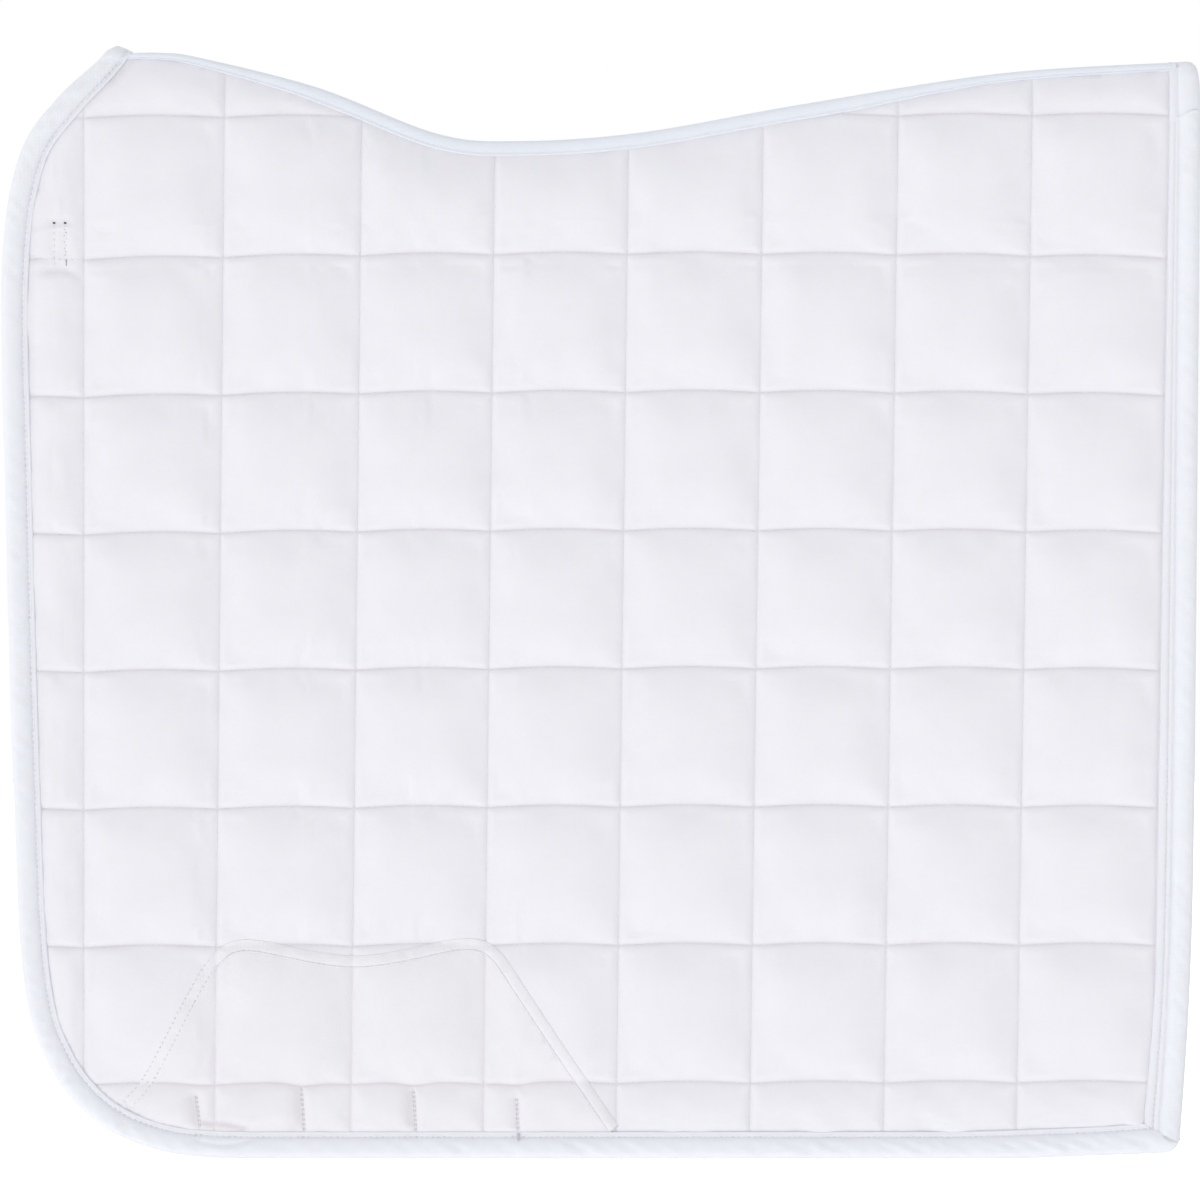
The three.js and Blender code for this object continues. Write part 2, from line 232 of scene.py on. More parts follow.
def lip_climb(x):
    """How far the bottom binding's lip climbs towards the rear corner."""
    return LIP_CLIMB * (np.clip(np.asarray(x) - LIP_CLIMB_FROM_X, 0, 100) / 100) ** 1.2


def border_polygon(inset, rear_inset, drop):
    """Closed outline of one half: edges moved inwards, the rear one by rear_inset(z), and the fold down."""
    front = (front_line + inset * front_normal)[::2]
    front = front[front[:, 1] < spine_z(front[:, 0]) - drop]
    z = np.linspace(inset, spine_z(REAR_X - 16) - drop, 60)
    rear = np.column_stack([rear_x(z) - rear_inset(z), z])
    bottom_x = np.linspace(front[-1, 0], rear[0, 0], 40)[1:-1]
    bottom = np.column_stack([bottom_x, inset + lip_climb(bottom_x) * min(inset / ROLL, 1)])
    inner = (spine_line[:, 0] > front[0, 0] + 1) & (spine_line[:, 0] < rear[-1, 0] - 1)
    fold = spine_line[inner][::-2] - [0, drop]
    return np.vstack([front, bottom, rear, fold])


def nearest_on(points, polygon):
    """For each point: its nearest point on a closed polygon, and its distance, positive inside."""
    a = polygon
    ab = np.roll(polygon, -1, axis=0) - a
    size = np.maximum((ab**2).sum(1), 1e-12)
    best = np.full(len(points), np.inf)
    close = np.zeros_like(points)
    inside = np.zeros(len(points), bool)
    for k in range(len(a)):
        ap = points - a[k]
        t = np.clip((ap @ ab[k]) / size[k], 0, 1)
        foot = a[k] + t[:, None] * ab[k]
        d = ((points - foot) ** 2).sum(1)
        better = d < best
        best[better] = d[better]
        close[better] = foot[better]
        rise_z = ab[k, 1] if ab[k, 1] else 1e-12
        crosses = (a[k, 1] > points[:, 1]) != (a[k, 1] + ab[k, 1] > points[:, 1])
        inside ^= crosses & (points[:, 0] < a[k, 0] + (points[:, 1] - a[k, 1]) / rise_z * ab[k, 0])
    distance = np.sqrt(best)
    return close, np.where(inside, distance, -distance)


def distance_to_line(points, line):
    """Distance of each point from an open line."""
    line = np.asarray(line, float)
    best = np.full(len(points), np.inf)
    for a, b in zip(line[:-1], line[1:]):
        ab = b - a
        t = np.clip(((points - a) @ ab) / (ab @ ab), 0, 1)
        best = np.minimum(best, np.linalg.norm(points - a - t[:, None] * ab, axis=1))
    return best


def waves(x, z, length, seed, count=7):
    """Smooth repeatable unevenness, mostly between -1 and 1, with bumps of about the given length."""
    rng = np.random.default_rng(seed)
    total = np.zeros(np.shape(x), float)
    for _ in range(count):
        angle = rng.uniform(0, math.pi)
        k = 2 * math.pi / (length * rng.uniform(0.75, 1.4))
        total += np.sin(k * (x * math.cos(angle) + z * math.sin(angle)) + rng.uniform(0, 2 * math.pi))
    return total / math.sqrt(count)


# ---- quilting grid

HALF_STEPS = (0, 0.5, 1.2, 2.2, 3.6, 5.4, 7.8, 10.8, 14.4, 18.8, 23.8, 29.2)


def cell_shares(pitch):
    """Places across one square, closer together near the seams."""
    half = np.array(HALF_STEPS) / pitch
    return np.concatenate([half, [0.5], 1 - half[:0:-1]])


def merged(places, extra, closest):
    """Grid places with extra ones added; a plain place too close to an extra one is left out."""
    extra = np.array(sorted(extra))
    seam = np.abs(places - np.round(places)) < 1e-9
    gap = np.abs(places[:, None] - extra[None, :]).min(1)
    return np.sort(np.concatenate([places[seam | (gap > closest)], extra]))


def seam_x(column, z):
    column = np.asarray(column)
    last = len(UPRIGHTS_X) - 2
    outside = np.minimum(column + 1, 0) + np.maximum(column - last, 0)
    at_fold = np.interp(column, np.arange(-1, last + 1), UPRIGHTS_X) + QUILT_PITCH_X * outside
    lean = np.where(column < 1, 0, QUILT_LEAN + QUILT_LEAN_STEP * column)
    return at_fold - lean * (TOP_Z - z) / TOP_Z


def seam_shift(share, x, z):
    """How far level lines stand above their straight place: a bow per square, a sag at each girth row."""
    sag = sum(depth * np.exp(-(((x - row_x) / 9) ** 2)) for row_x, depth in zip(GIRTH_ROWS_X, GIRTH_SAG))
    bow = QUILT_BOW * np.sin(math.pi * share) - sag * np.exp(-(((z - QUILT_LOW_Z) / 22) ** 2))
    arch = QUILT_ARCH * z / TOP_Z * (1 - 0.9 * np.exp(-(((z - LAST_LEVEL_Z) / 30) ** 2)))
    return bow + QUILT_TILT * x / HALF_LENGTH - arch * (x / HALF_LENGTH) ** 2


def grid_place(column, row):
    z = QUILT_LOW_Z + QUILT_PITCH_Z * row
    whole = np.floor(column)
    share = column - whole
    x = seam_x(whole, z) * (1 - share) + seam_x(whole + 1, z) * share
    return x, z + seam_shift(share, x, z)


def grid_coordinates(x, z):
    """Column and row of places on the pad; whole numbers are seams."""
    cells = np.arange(-2, 11)
    uprights = np.stack([seam_x(c, z) for c in cells])
    k = np.clip((uprights <= x).sum(0) - 1, 0, len(cells) - 2)
    picks = np.arange(len(x))
    left = uprights[k, picks]
    share = np.clip((x - left) / (uprights[k + 1, picks] - left), 0, 1)
    straight = z
    for _ in range(3):
        straight = z - seam_shift(share, x, straight)
    return cells[k] + share, (straight - QUILT_LOW_Z) / QUILT_PITCH_Z


def column_of(xs, z):
    return grid_coordinates(np.array(xs, float), np.full(len(xs), float(z)))[0]


COLUMN_CELLS = range(-1, 9)
ROW_CELLS = range(-1, 8)
FINE_STEPS = HALF_STEPS[:6]
CLOSEST = 0.008  # least spacing beside an extra grid place, as a share of a square


def fine_places(centres, pitch, steps):
    """Places on both sides of each centre, as shares of a square."""
    shifts = sorted({sign * step / pitch for step in steps for sign in (-1, 1)})
    return [centre + shift for centre in centres for shift in shifts]


GIRTH_COLUMNS = column_of(GIRTH_ROWS_X, 22)
KEEPER_COLUMNS = column_of(KEEPER_ROWS_X, 470)
# Level lines with finer steps: the keeper's head and foot, and the pucker beside the first girth row.
FINE_ROWS = [(z - QUILT_LOW_Z) / QUILT_PITCH_Z for z in (KEEPER_ROWS_Z[1], KEEPER_ROWS_Z[0], 16.8)]
COLUMNS = merged(
    np.concatenate([c + cell_shares(QUILT_PITCH_X) for c in COLUMN_CELLS]),
    fine_places(GIRTH_COLUMNS, QUILT_PITCH_X, FINE_STEPS)
    + fine_places(KEEPER_COLUMNS, QUILT_PITCH_X, FINE_STEPS[:4]),
    CLOSEST,
)
ROWS = merged(
    np.concatenate([r + cell_shares(QUILT_PITCH_Z) for r in ROW_CELLS]),
    fine_places(FINE_ROWS, QUILT_PITCH_Z, FINE_STEPS),
    CLOSEST,
)


def grid_faces(rows, columns, wrap_rows=False):
    """Quads of a grid of points stored row by row."""
    last = rows if wrap_rows else rows - 1
    rr, cc = np.meshgrid(np.arange(last), np.arange(columns - 1), indexing="ij")
    here = rr * columns + cc
    there = (rr + 1) % rows * columns + cc
    return np.stack([here, here + 1, there + 1, there], -1).reshape(-1, 4)


grid_column, grid_row = (g.ravel() for g in np.meshgrid(COLUMNS, ROWS))
GRID_POINTS = np.column_stack(grid_place(grid_column, grid_row))
GRID_FACES = grid_faces(len(ROWS), len(COLUMNS))


def blended(field, columns, rows, column, row):
    """Values between the points of a grid, which is kept row by row."""
    c = np.clip(np.interp(column, columns, np.arange(len(columns))), 0, len(columns) - 1.001)
    r = np.clip(np.interp(row, rows, np.arange(len(rows))), 0, len(rows) - 1.001)
    c0, r0 = c.astype(int), r.astype(int)
    u, v = (c - c0)[:, None], (r - r0)[:, None]
    f = field.reshape(len(rows), len(columns), -1)
    top = f[r0, c0] * (1 - u) + f[r0, c0 + 1] * u
    low = f[r0 + 1, c0] * (1 - u) + f[r0 + 1, c0 + 1] * u
    return top * (1 - v) + low * v


def sample(field, x, z):
    """Value of a field kept on the grid points at other places."""
    return blended(field, COLUMNS, ROWS, *grid_coordinates(x, z))[:, 0]


def cut_to(points, faces, polygon):
    """Keeps the faces that reach into the polygon, and pulls their outer corners onto its outline."""
    close, distance = nearest_on(points, polygon)
    inside = distance > 0.4
    faces = faces[inside[faces].any(1)]
    used = np.unique(faces)
    index = np.full(len(points), -1)
    index[used] = np.arange(len(used))
    return np.where(inside[:, None], points, close)[used], index[faces], used


def smooth_line(line, rounds=6):
    line = line.copy()
    for _ in range(rounds):
        line[1:-1] = (line[:-2] + 2 * line[1:-1] + line[2:]) / 4
    return line


trim_line = np.vstack([spline(TRIM_LEFT), spline(TRIM_TOP), spline(TRIM_RIGHT)])
trim_line = evenly(smooth_line(evenly(trim_line, 1.5)), 1.2)
trim_line = trim_line[(trim_line[:, 1] > TRIM_LOW_Z) & (trim_line[:, 0] > TRIM_FRONT_X)]
trim_normal = left_normals(trim_line)

# ---- padding

DOME = 0.16  # slope that falls evenly towards the middle of a square
SHOULDER = 0.46  # extra slope at the seam, which falls within SHOULDER_REACH
SHOULDER_REACH = 5.0
HALF_SQUARE = 35.0


def slope_height(d):
    inner = np.minimum(d, HALF_SQUARE)
    dome = DOME * (inner - inner**2 / (2 * HALF_SQUARE))
    return dome + SHOULDER * SHOULDER_REACH * (1 - np.exp(-d / SHOULDER_REACH))


def rise(distance):
    """Share of a square's full height at a distance from one seam."""
    return np.maximum(slope_height(np.maximum(distance, 0)) / slope_height(HALF_SQUARE), 1e-3)


def soft_min(shares, power=3.0):
    total = sum(s**-power for s in shares) - (len(shares) - 1)
    return np.maximum(total, 1) ** (-1 / power)


def mid_level(x, z):
    """Level of the middle of a half: the two halves close together towards the fold."""
    t = np.clip((spine_z(x) - z - 4) / (FOLD_REACH - 4), 0, 1)
    return FOLD_LEVEL + (MID_LEVEL - FOLD_LEVEL) * t * (2 - t)


def girth_row(k):
    """The stitched row k of the girth webbing, from its head down."""
    x, lean = GIRTH_ROWS_X[k], GIRTH_LEAN[k]
    return [(x - lean, GIRTH_ROWS_TOP[k]), (x + lean, GIRTH_ROWS_LOW[k])]


def rear_lip(z):
    """Width of the rear lip: it reaches the last upright seam, and flares out towards the bottom corner."""
    flare = 4.9 * (np.clip(100 - z, 0, 82) / 82) ** 1.5
    return np.maximum(rear_x(z) - ROLL - seam_x(REAR_SEAM, z) - 0.6 + flare, LIP)


PUFF_BORDER = border_polygon(ROLL + LIP - 0.7, lambda z: ROLL + rear_lip(z) - 0.3, -60)

# Puckers pulled by the stitching: line, half width, depth as a share of the padding, darkness of the painted
# shade in them.
PUCKERS = (
    (((-204, 18.4), (-192, 17.6), (-184, 15.6)), 2.2, 1.0, 1.0),
    (((-284, 455.5), (-275, 456.5), (-267, 452.5)), 2.4, 0.4, 0.4),
    (((-289, 475.2), (-282, 477.4), (-274, 478.5)), 1.2, -0.28, 0),
    (((-283, 482), (-272.5, 482)), 4.5, 0.28, 0),
)
# The hollow that the first three girth rows pull in front of them, with painted shade in it.
PUCKERS += tuple(
    (((x - 3.5, top - 2), (x - 3.0, low + 4)), 4.0, 0.1, 0.5)
    for x, top, low in list(zip(GIRTH_ROWS_X, GIRTH_ROWS_TOP, GIRTH_ROWS_LOW))[:3]
)


def pucker_depth(points):
    """Share of the padding's height that the puckers take, and how much painted shade they get."""
    depth = np.zeros(len(points))
    painted_shade = np.zeros(len(points))
    for line, width, share, darkness in PUCKERS:
        near = np.exp(-((distance_to_line(points, line) / width) ** 2))
        depth += share * near
        painted_shade += darkness * near**2
    return depth, painted_shade


def puff(x, z, seed=1):
    """Share of the full padding height over the half: 0 along every seam."""
    points = np.column_stack([x, z])
    column, row = grid_coordinates(x, z)
    to_upright = np.abs(column - np.round(column)) * QUILT_PITCH_X
    to_level = np.abs(row - np.round(row)) * QUILT_PITCH_Z
    by_keeper = np.exp(-(((x - KEEPER_MIDDLE_X) / 9.5) ** 6) - ((z - KEEPER_ROWS_Z[0]) / 12) ** 2)
    to_level = to_level + 5 * by_keeper
    _, to_border = nearest_on(points, PUFF_BORDER)
    to_fold = below_fold(x, z) - tape_depth(x) - 0.1
    to_trim = np.maximum(distance_to_line(points, trim_line[::4]) - TRIM_WIDTH / 2, 0)
    shares = [rise(to_upright), rise(to_level), rise(to_border), rise(to_fold)]
    hold = 0.6 + 0.2 * np.clip((TRIM_TOP[0][0] + 4 - x) / 8, 0, 1)
    shares.append(hold + (1 - hold) * rise(to_trim))
    for k in range(len(GIRTH_ROWS_X)):
        away = np.maximum(distance_to_line(points, girth_row(k)) - 0.4, 0)
        shares.append(np.maximum(1 - np.exp(-away / GIRTH_REACH), 1e-3))
    height = soft_min(shares)
    height = height * (1 + 0.05 * waves(x, z, 60, seed) + 0.02 * waves(x, z, 22, seed + 1))
    for row_x in KEEPER_ROWS_X:
        d = distance_to_line(points, [(row_x, KEEPER_ROWS_Z[0]), (row_x, KEEPER_ROWS_Z[1])])
        height = height * (1 - 0.45 * np.exp(-((d / 4) ** 2)))
    return np.maximum(height * (1 - pucker_depth(points)[0]), 0)


# ---- mesh helpers


def side_sign(side):
    return -1 if side == "left" else 1


def enclosed_volume(points, faces):
    """Volume inside a closed mesh, negative when its faces look inwards."""
    fans = [(f[0], f[k], f[k + 1]) for f in faces for k in range(1, len(f) - 1)]
    a, b, c = (points[list(corner)] for corner in zip(*fans))
    return (np.cross(a, b) * c).sum() / 6


def add_mesh(name, points, faces, material, tint=None):
    """points in mm, (x, y, z). tint is painted shade, one value per point: 0 on open cloth, 1 down in a
    seam.
    """
    mesh = bpy.data.meshes.new(name)
    points = np.asarray(points, float)
    faces = [list(map(int, f)) for f in faces]
    if enclosed_volume(points, faces) < 0:
        faces = [f[::-1] for f in faces]
    mesh.from_pydata((points * MM).tolist(), [], faces)
    if tint is not None:
        # The seam attribute carries painted shade: 0 on open cloth, 1 where seams and grooves lie in shade.
        layer = mesh.attributes.new("seam", "FLOAT", "POINT")
        layer.data.foreach_set("value", np.asarray(tint, np.float32))
    mesh.validate()
    mesh.update()
    mesh.polygons.foreach_set("use_smooth", [True] * len(mesh.polygons))
    mesh.materials.append(material)
    obj = bpy.data.objects.new(name, mesh)
    bpy.context.scene.collection.objects.link(obj)
    return obj


def rim_of(faces):
    """Directed edges that belong to one face only."""
    edges = np.concatenate([faces[:, [k, (k + 1) % 4]] for k in range(4)])
    known = set(map(tuple, edges.tolist()))
    return [(a, b) for a, b in edges.tolist() if (b, a) not in known]


def slab(name, side, faces, outer, inner, material, tint=None):
    """A closed layer between two sheets of points (x, level, z) that share the same faces."""
    sign = side_sign(side)
    count = len(outer)
    points = np.vstack([outer, inner]) * [1, sign, 1]
    flip = faces[:, ::-1]
    front, back = (faces, flip + count) if sign < 0 else (flip, faces + count)
    walls = [(b, a, a + count, b + count) for a, b in rim_of(front)]
    tints = None if tint is None else np.concatenate([tint, tint])
    return add_mesh(name, points, list(front) + list(back) + walls, material, tints)


def tube(name, side, rings, material, tint=None):
    """A closed body skinned over rings of points (x, level, z); every ring is one line along it."""
    sign = side_sign(side)
    count = len(rings[0])
    points = np.concatenate(rings) * [1, sign, 1]
    faces = grid_faces(len(rings), count, wrap_rows=True)
    starts = [k * count for k in range(len(rings))]
    ends = [starts[::-1], [k + count - 1 for k in starts]]
    if sign > 0:
        faces = faces[:, ::-1]
        ends = [e[::-1] for e in ends]
    tints = None if tint is None else np.concatenate(tint)
    return add_mesh(name, points, list(faces) + ends, material, tints)


def on_half(piece, side, slot, *nodes):
    """Bakes the piece's placement into its points and hides the frame's nodes that it replaces."""
    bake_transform(piece)
    if nodes:
        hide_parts(*[side + "_" + n for n in nodes])
    return piece


def on_spine(piece, slot, *nodes):
    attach(piece, "spine")
    if nodes:
        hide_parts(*nodes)
    return piece


# ---- materials


SEAM_SHADE_TINT = (0.88, 0.84, 0.86)  # painted shade down in seams and grooves: the colour there, as a share of the cloth's colour
GRAIN_BUMP = 0.0004  # height of the bumps, in metres
WEAVE_BUMP = 0.00025


def feed(tree, made, inputs):
    """Sets a node's inputs; one that is given another node's output is linked to it."""
    for key, value in inputs.items():
        if isinstance(value, bpy.types.NodeSocket):
            tree.links.new(value, made.inputs[key])
        else:
            made.inputs[key].default_value = value


def node(tree, kind, inputs=None, output=0, **settings):
    """The chosen output of a new node."""
    made = tree.nodes.new(kind)
    for key, value in settings.items():
        setattr(made, key, value)
    feed(tree, made, inputs or {})
    return made.outputs[output]


def threads(tree, place, thread, direction):
    """Threads of a weave that lie side by side along one axis."""
    settings = {
        "Vector": place,
        "Scale": math.pi / (10 * thread * MM),
        "Distortion": 1.2,
        "Detail": 1.0,
        "Detail Scale": 3.0,
    }
    return node(tree, "ShaderNodeTexWave", settings, "Fac", wave_type="BANDS", bands_direction=direction)


def noise(tree, place, scale, detail, roughness):
    settings = {"Vector": place, "Scale": scale, "Detail": detail, "Roughness": roughness}
    return node(tree, "ShaderNodeTexNoise", settings, "Fac")


def in_range(tree, value, low, high, start=0.0, end=1.0):
    """The value, mapped from start..end to low..high."""
    settings = {"Value": value, "From Min": start, "From Max": end, "To Min": low, "To Max": high}
    return node(tree, "ShaderNodeMapRange", settings)


def bump(tree, height, strength, distance, below=None):
    settings = {"Height": height, "Strength": strength, "Distance": distance}
    if below:
        settings["Normal"] = below
    return node(tree, "ShaderNodeBump", settings)


def fabric(name, color, thread=0.8, weave=0.35, grain=0.3, mottle=0.02, sheen=0.15, roughness=0.9):
    """Woven cotton: crossing threads and fuzz in the bump, slow tone changes, and painted shade, darker and
    warmer, down in the seams and grooves.
    """
    material = bpy.data.materials.new(name)
    material.use_nodes = True
    tree = material.node_tree
    place = node(tree, "ShaderNodeTexCoord", output="Object")
    weaves = {k: threads(tree, place, thread, direction) for k, direction in enumerate("XZ")}
    crossed = node(tree, "ShaderNodeMath", weaves, operation="MAXIMUM")
    fuzz = noise(tree, place, 900.0, 3.0, 0.6)
    surface = bump(tree, fuzz, grain, GRAIN_BUMP, bump(tree, crossed, weave, WEAVE_BUMP))
    tone = in_range(tree, noise(tree, place, 45.0, 4.0, 0.55), 1 - mottle, 1.0, 0.3, 0.7)
    cloth = node(tree, "ShaderNodeVectorMath", {0: color, "Scale": tone}, operation="SCALE")
    # Painted shade: the colour darkens towards the seam tint where the seam attribute is high.
    seam = node(tree, "ShaderNodeAttribute", output="Fac", attribute_name="seam")
    painted_shade = tuple(c * t for c, t in zip(color, SEAM_SHADE_TINT)) + (1,)
    tinted = {"Factor": seam, "A": cloth, "B": painted_shade}
    feed(tree, tree.nodes["Principled BSDF"], {
        "Base Color": node(tree, "ShaderNodeMix", tinted, "Result", data_type="RGBA"),
        "Normal": surface,
        "Roughness": in_range(tree, fuzz, roughness - 0.08, roughness + 0.06),
        "Specular IOR Level": 0.2,
        "Sheen Weight": sheen,
        "Sheen Roughness": 0.5,
    })
    return material


COTTON = fabric("quilted_cotton", (0.852, 0.843, 0.887), thread=0.6, weave=0.15)
PATCH = fabric("patch_cotton", (0.850, 0.836, 0.869), thread=0.5, weave=0.12)
TAPE = fabric("binding_cotton", (0.872, 0.882, 0.932), thread=0.7, weave=0.45, sheen=0.25, roughness=0.8)
# Painted shade: the binding cotton again, darker and bluer, for the spine tape's upward-facing fold.
SHADED_FOLD_TAPE = fabric(
    "fold_tape_cotton_painted_shade", (0.850, 0.876, 0.945), thread=0.7, weave=0.45, sheen=0.25, roughness=0.8,
)
TRIM = fabric("trim_tape", (0.888, 0.878, 0.914), thread=0.7, weave=0.5, roughness=0.82)
LINING = fabric("lining_cotton", (0.84, 0.845, 0.875), thread=1.0, weave=0.5)
WADDING = fabric("wadding_fibre", (0.86, 0.86, 0.85), thread=1.6, weave=0.1, grain=0.9)
WEBBING = fabric("ribbed_webbing", (0.82, 0.825, 0.86), thread=1.8, weave=0.9, roughness=0.82)
THREAD = fabric("cotton_thread", (0.84, 0.84, 0.88), thread=0.35, weave=0.6, sheen=0.3, roughness=0.7)
# A darker thread for the girth, keeper and flush trim rows: painted shade of the grooves they sit in.
SHADED_ROW_THREAD = fabric("row_thread_painted_shade", (0.76, 0.74, 0.78), thread=0.35, weave=0.6, sheen=0.2, roughness=0.8)
# A dark mark at the foot of the keeper's rear row: painted shade in the slit.
SLIT_SHADE = fabric("keeper_slit_shade", (0.42, 0.40, 0.43), thread=0.35, weave=0.6, sheen=0.0, roughness=0.9)
# Near-black marks at the keeper's needle holes: painted shade in the holes.
HOLE_SHADE = fabric("needle_hole_shade", (0.10, 0.10, 0.11), thread=0.35, weave=0.6, sheen=0.0, roughness=0.9)

# ---- simulated cloth

PANEL_EDGE = border_polygon(ROLL - 5, lambda z: ROLL - 5 + 0 * z, 1.8)
SIM_CELLS = 22  # points across one square in the simulated sheet
SIM_FRAMES = 12
SIM_MOST = 2.0  # how far the cloth may leave the drawn shape, mm
UPRIGHT_SHADE = 0.42  # how much painted shade the upright seams get beside the level ones
CLOTH_SETTINGS = {
    "vertex_group_mass": "pin",
    "use_pressure": True,
    "uniform_pressure_force": 8,
    "mass": 0.01,
    "shrink_min": -0.012,
    "quality": 5,
    "tension_stiffness": 8,
    "compression_stiffness": 8,
    "shear_stiffness": 3,
    "bending_stiffness": 0.02,
}


def pinned(flat, column, row):
    """Points of the simulated sheet that are sewn down."""
    on_seam = np.minimum(np.abs(column - np.round(column)), np.abs(row - np.round(row))) < 0.3 / SIM_CELLS
    _, inside = nearest_on(flat, PUFF_BORDER)
    under_tape = below_fold(*flat.T) < tape_depth(flat[:, 0]) + 1.5
    held = on_seam | (inside < 0.5) | under_tape
    for k in range(len(GIRTH_ROWS_X)):
        held |= distance_to_line(flat, girth_row(k)) < 2.0
    return np.where(held)[0].tolist()


def swollen(points, faces, pins):
    """The points after Blender's cloth has swollen the sheet between its pins."""
    mesh = bpy.data.meshes.new("sheet")
    mesh.from_pydata(points.tolist(), [], faces.tolist())
    mesh.update()
    sheet = bpy.data.objects.new("sheet", mesh)
    bpy.context.scene.collection.objects.link(sheet)
    sheet.vertex_groups.new(name="pin").add(pins, 1.0, "REPLACE")
    cloth = sheet.modifiers.new("cloth", "CLOTH")
    for key, value in CLOTH_SETTINGS.items():
        setattr(cloth.settings, key, value)
    cloth.settings.effector_weights.gravity = 0
    cloth.collision_settings.use_collision = False
    cloth.point_cache.frame_start = 1
    cloth.point_cache.frame_end = SIM_FRAMES
    for f in range(1, SIM_FRAMES + 1):
        bpy.context.scene.frame_set(f)
    ready = sheet.evaluated_get(bpy.context.evaluated_depsgraph_get())
    moved = np.empty(len(points) * 3)
    ready.data.vertices.foreach_get("co", moved)
    bpy.context.scene.frame_set(1)
    bpy.data.objects.remove(sheet)
    return moved.reshape(-1, 3)


def simulated_field(start):
    """How far the simulated cloth moves away from the drawn levels, on the grid points."""
    cols, rows = (
        np.linspace(cells[0], cells[-1] + 1, len(cells) * SIM_CELLS + 1)
        for cells in (COLUMN_CELLS, ROW_CELLS)
    )
    column, row = (g.ravel() for g in np.meshgrid(cols, rows))
    places = np.column_stack(grid_place(column, row))
    flat, faces, used = cut_to(places, grid_faces(len(rows), len(cols)), PANEL_EDGE)
    points = with_level(flat, -sample(start, *flat.T)) * MM
    shift = (swollen(points, faces, pinned(flat, column[used], row[used])) - points) / MM
    size = np.linalg.norm(shift, axis=1)
    print("cloth moved up to %.2f mm, mean %.2f mm" % (size.max(), size.mean()))
    shift *= (np.minimum(size, SIM_MOST) / np.maximum(size, 1e-9))[:, None]
    full = np.zeros((len(places), 3))
    full[used] = shift * [1, -1, 1]
    return blended(full, cols, rows, grid_column, grid_row)


grid_mid = mid_level(*GRID_POINTS.T)
grid_puff = puff(*GRID_POINTS.T)
drawn_level = grid_mid + SEAM_LEVEL + PUFF_OUT * grid_puff
cloth_shift = simulated_field(grid_mid + SEAM_LEVEL + 0.85 * PUFF_OUT * grid_puff)
cloth_shift[:, 1] -= 0.15 * PUFF_OUT * grid_puff
outer_sheet = with_level(GRID_POINTS, drawn_level) + cloth_shift
# Painted shade on the grid: darkest where the padding is pressed flat in a seam, weaker on upright seams,
# and added in the puckers.
on_level_seam = np.abs(grid_row - np.round(grid_row)) * QUILT_PITCH_Z < 1.5
SEAM_SHADE_AMOUNT = np.exp(-grid_puff / 0.07) * np.where(on_level_seam, 1, UPRIGHT_SHADE)
SEAM_SHADE_AMOUNT = np.maximum(SEAM_SHADE_AMOUNT, pucker_depth(GRID_POINTS)[1])


def outer_level(x, z):
    """Level of the outer cloth at any place."""
    return sample(outer_sheet[:, 1], x, z)


# ---- quilted layers


def sheet_points(field_points, flat, used):
    """Sheet points of a cut piece; its border points stay where the cut put them."""
    moved = field_points[used].copy()
    at_border = np.abs(GRID_POINTS[used] - flat).sum(1) > 1e-6
    moved[at_border, 0] = flat[at_border, 0]
    moved[at_border, 2] = flat[at_border, 1]
    moved[at_border, 1] = sample(field_points[:, 1], *flat[at_border].T)
    return moved


panel_flat, panel_faces, panel_used = cut_to(GRID_POINTS, GRID_FACES, PANEL_EDGE)
inner_sheet = outer_sheet.copy()
inner_sheet[:, 1] = grid_mid - SEAM_LEVEL - (outer_sheet[:, 1] - grid_mid - SEAM_LEVEL) * PUFF_IN / PUFF_OUT
panel_out = sheet_points(outer_sheet, panel_flat, panel_used)
panel_in = sheet_points(inner_sheet, panel_flat, panel_used)
panel_mid = sample(grid_mid, *panel_flat.T)
UP = np.array([0, 1, 0])


def quilted_layers(side):
    tint = SEAM_SHADE_AMOUNT[panel_used]
    panel = slab(side + "_panel", side, panel_faces, panel_out, panel_out - CLOTH * UP, COTTON, tint)
    on_half(panel, side, "panel_cotton", "outer_panel")
    back = panel_in + CLOTH * UP
    lining = slab(side + "_quilted_lining", side, panel_faces, back, panel_in, LINING, tint)
    on_half(lining, side, "lining_cotton", "lining")
    high = panel_out - (CLOTH + 0.35) * UP
    low = panel_in + (CLOTH + 0.35) * UP
    high[:, 1] = np.maximum(high[:, 1], panel_mid + 0.03)
    low[:, 1] = np.minimum(low[:, 1], panel_mid - 0.03)
    filling = slab(side + "_filling", side, panel_faces, high, low, WADDING)
    on_half(filling, side, "wadding", "wadding")


# ---- girth patch


def patch_polygon():
    """The trim line closed by the edge of the panel under the binding's lip."""
    front = front_line + (ROLL + 1.2) * front_normal
    low = (front[:, 0] > trim_line[0, 0] - 2) & (front[:, 1] < 30)
    foot_x = np.linspace(front[-1, 0], trim_line[-1, 0], 50)[1:]
    foot = np.column_stack([foot_x, np.full(49, ROLL + 1.2)])
    return np.vstack([trim_line[:-1], foot[::-1], front[low][::-1]])[::2]


def patch_rise(points):
    """How far the patch stands over the panel: almost flush along its front tape."""
    away = np.clip((distance_to_line(points, spline(TRIM_LEFT, 12)) - 3) / 14, 0, 1)
    return PATCH_RISE * (0.25 + 0.75 * away)


patch_flat, patch_faces, patch_used = cut_to(GRID_POINTS, GRID_FACES, patch_polygon())
patch_out = sheet_points(outer_sheet, patch_flat, patch_used)
patch_lift = patch_rise(patch_flat)[:, None] * UP


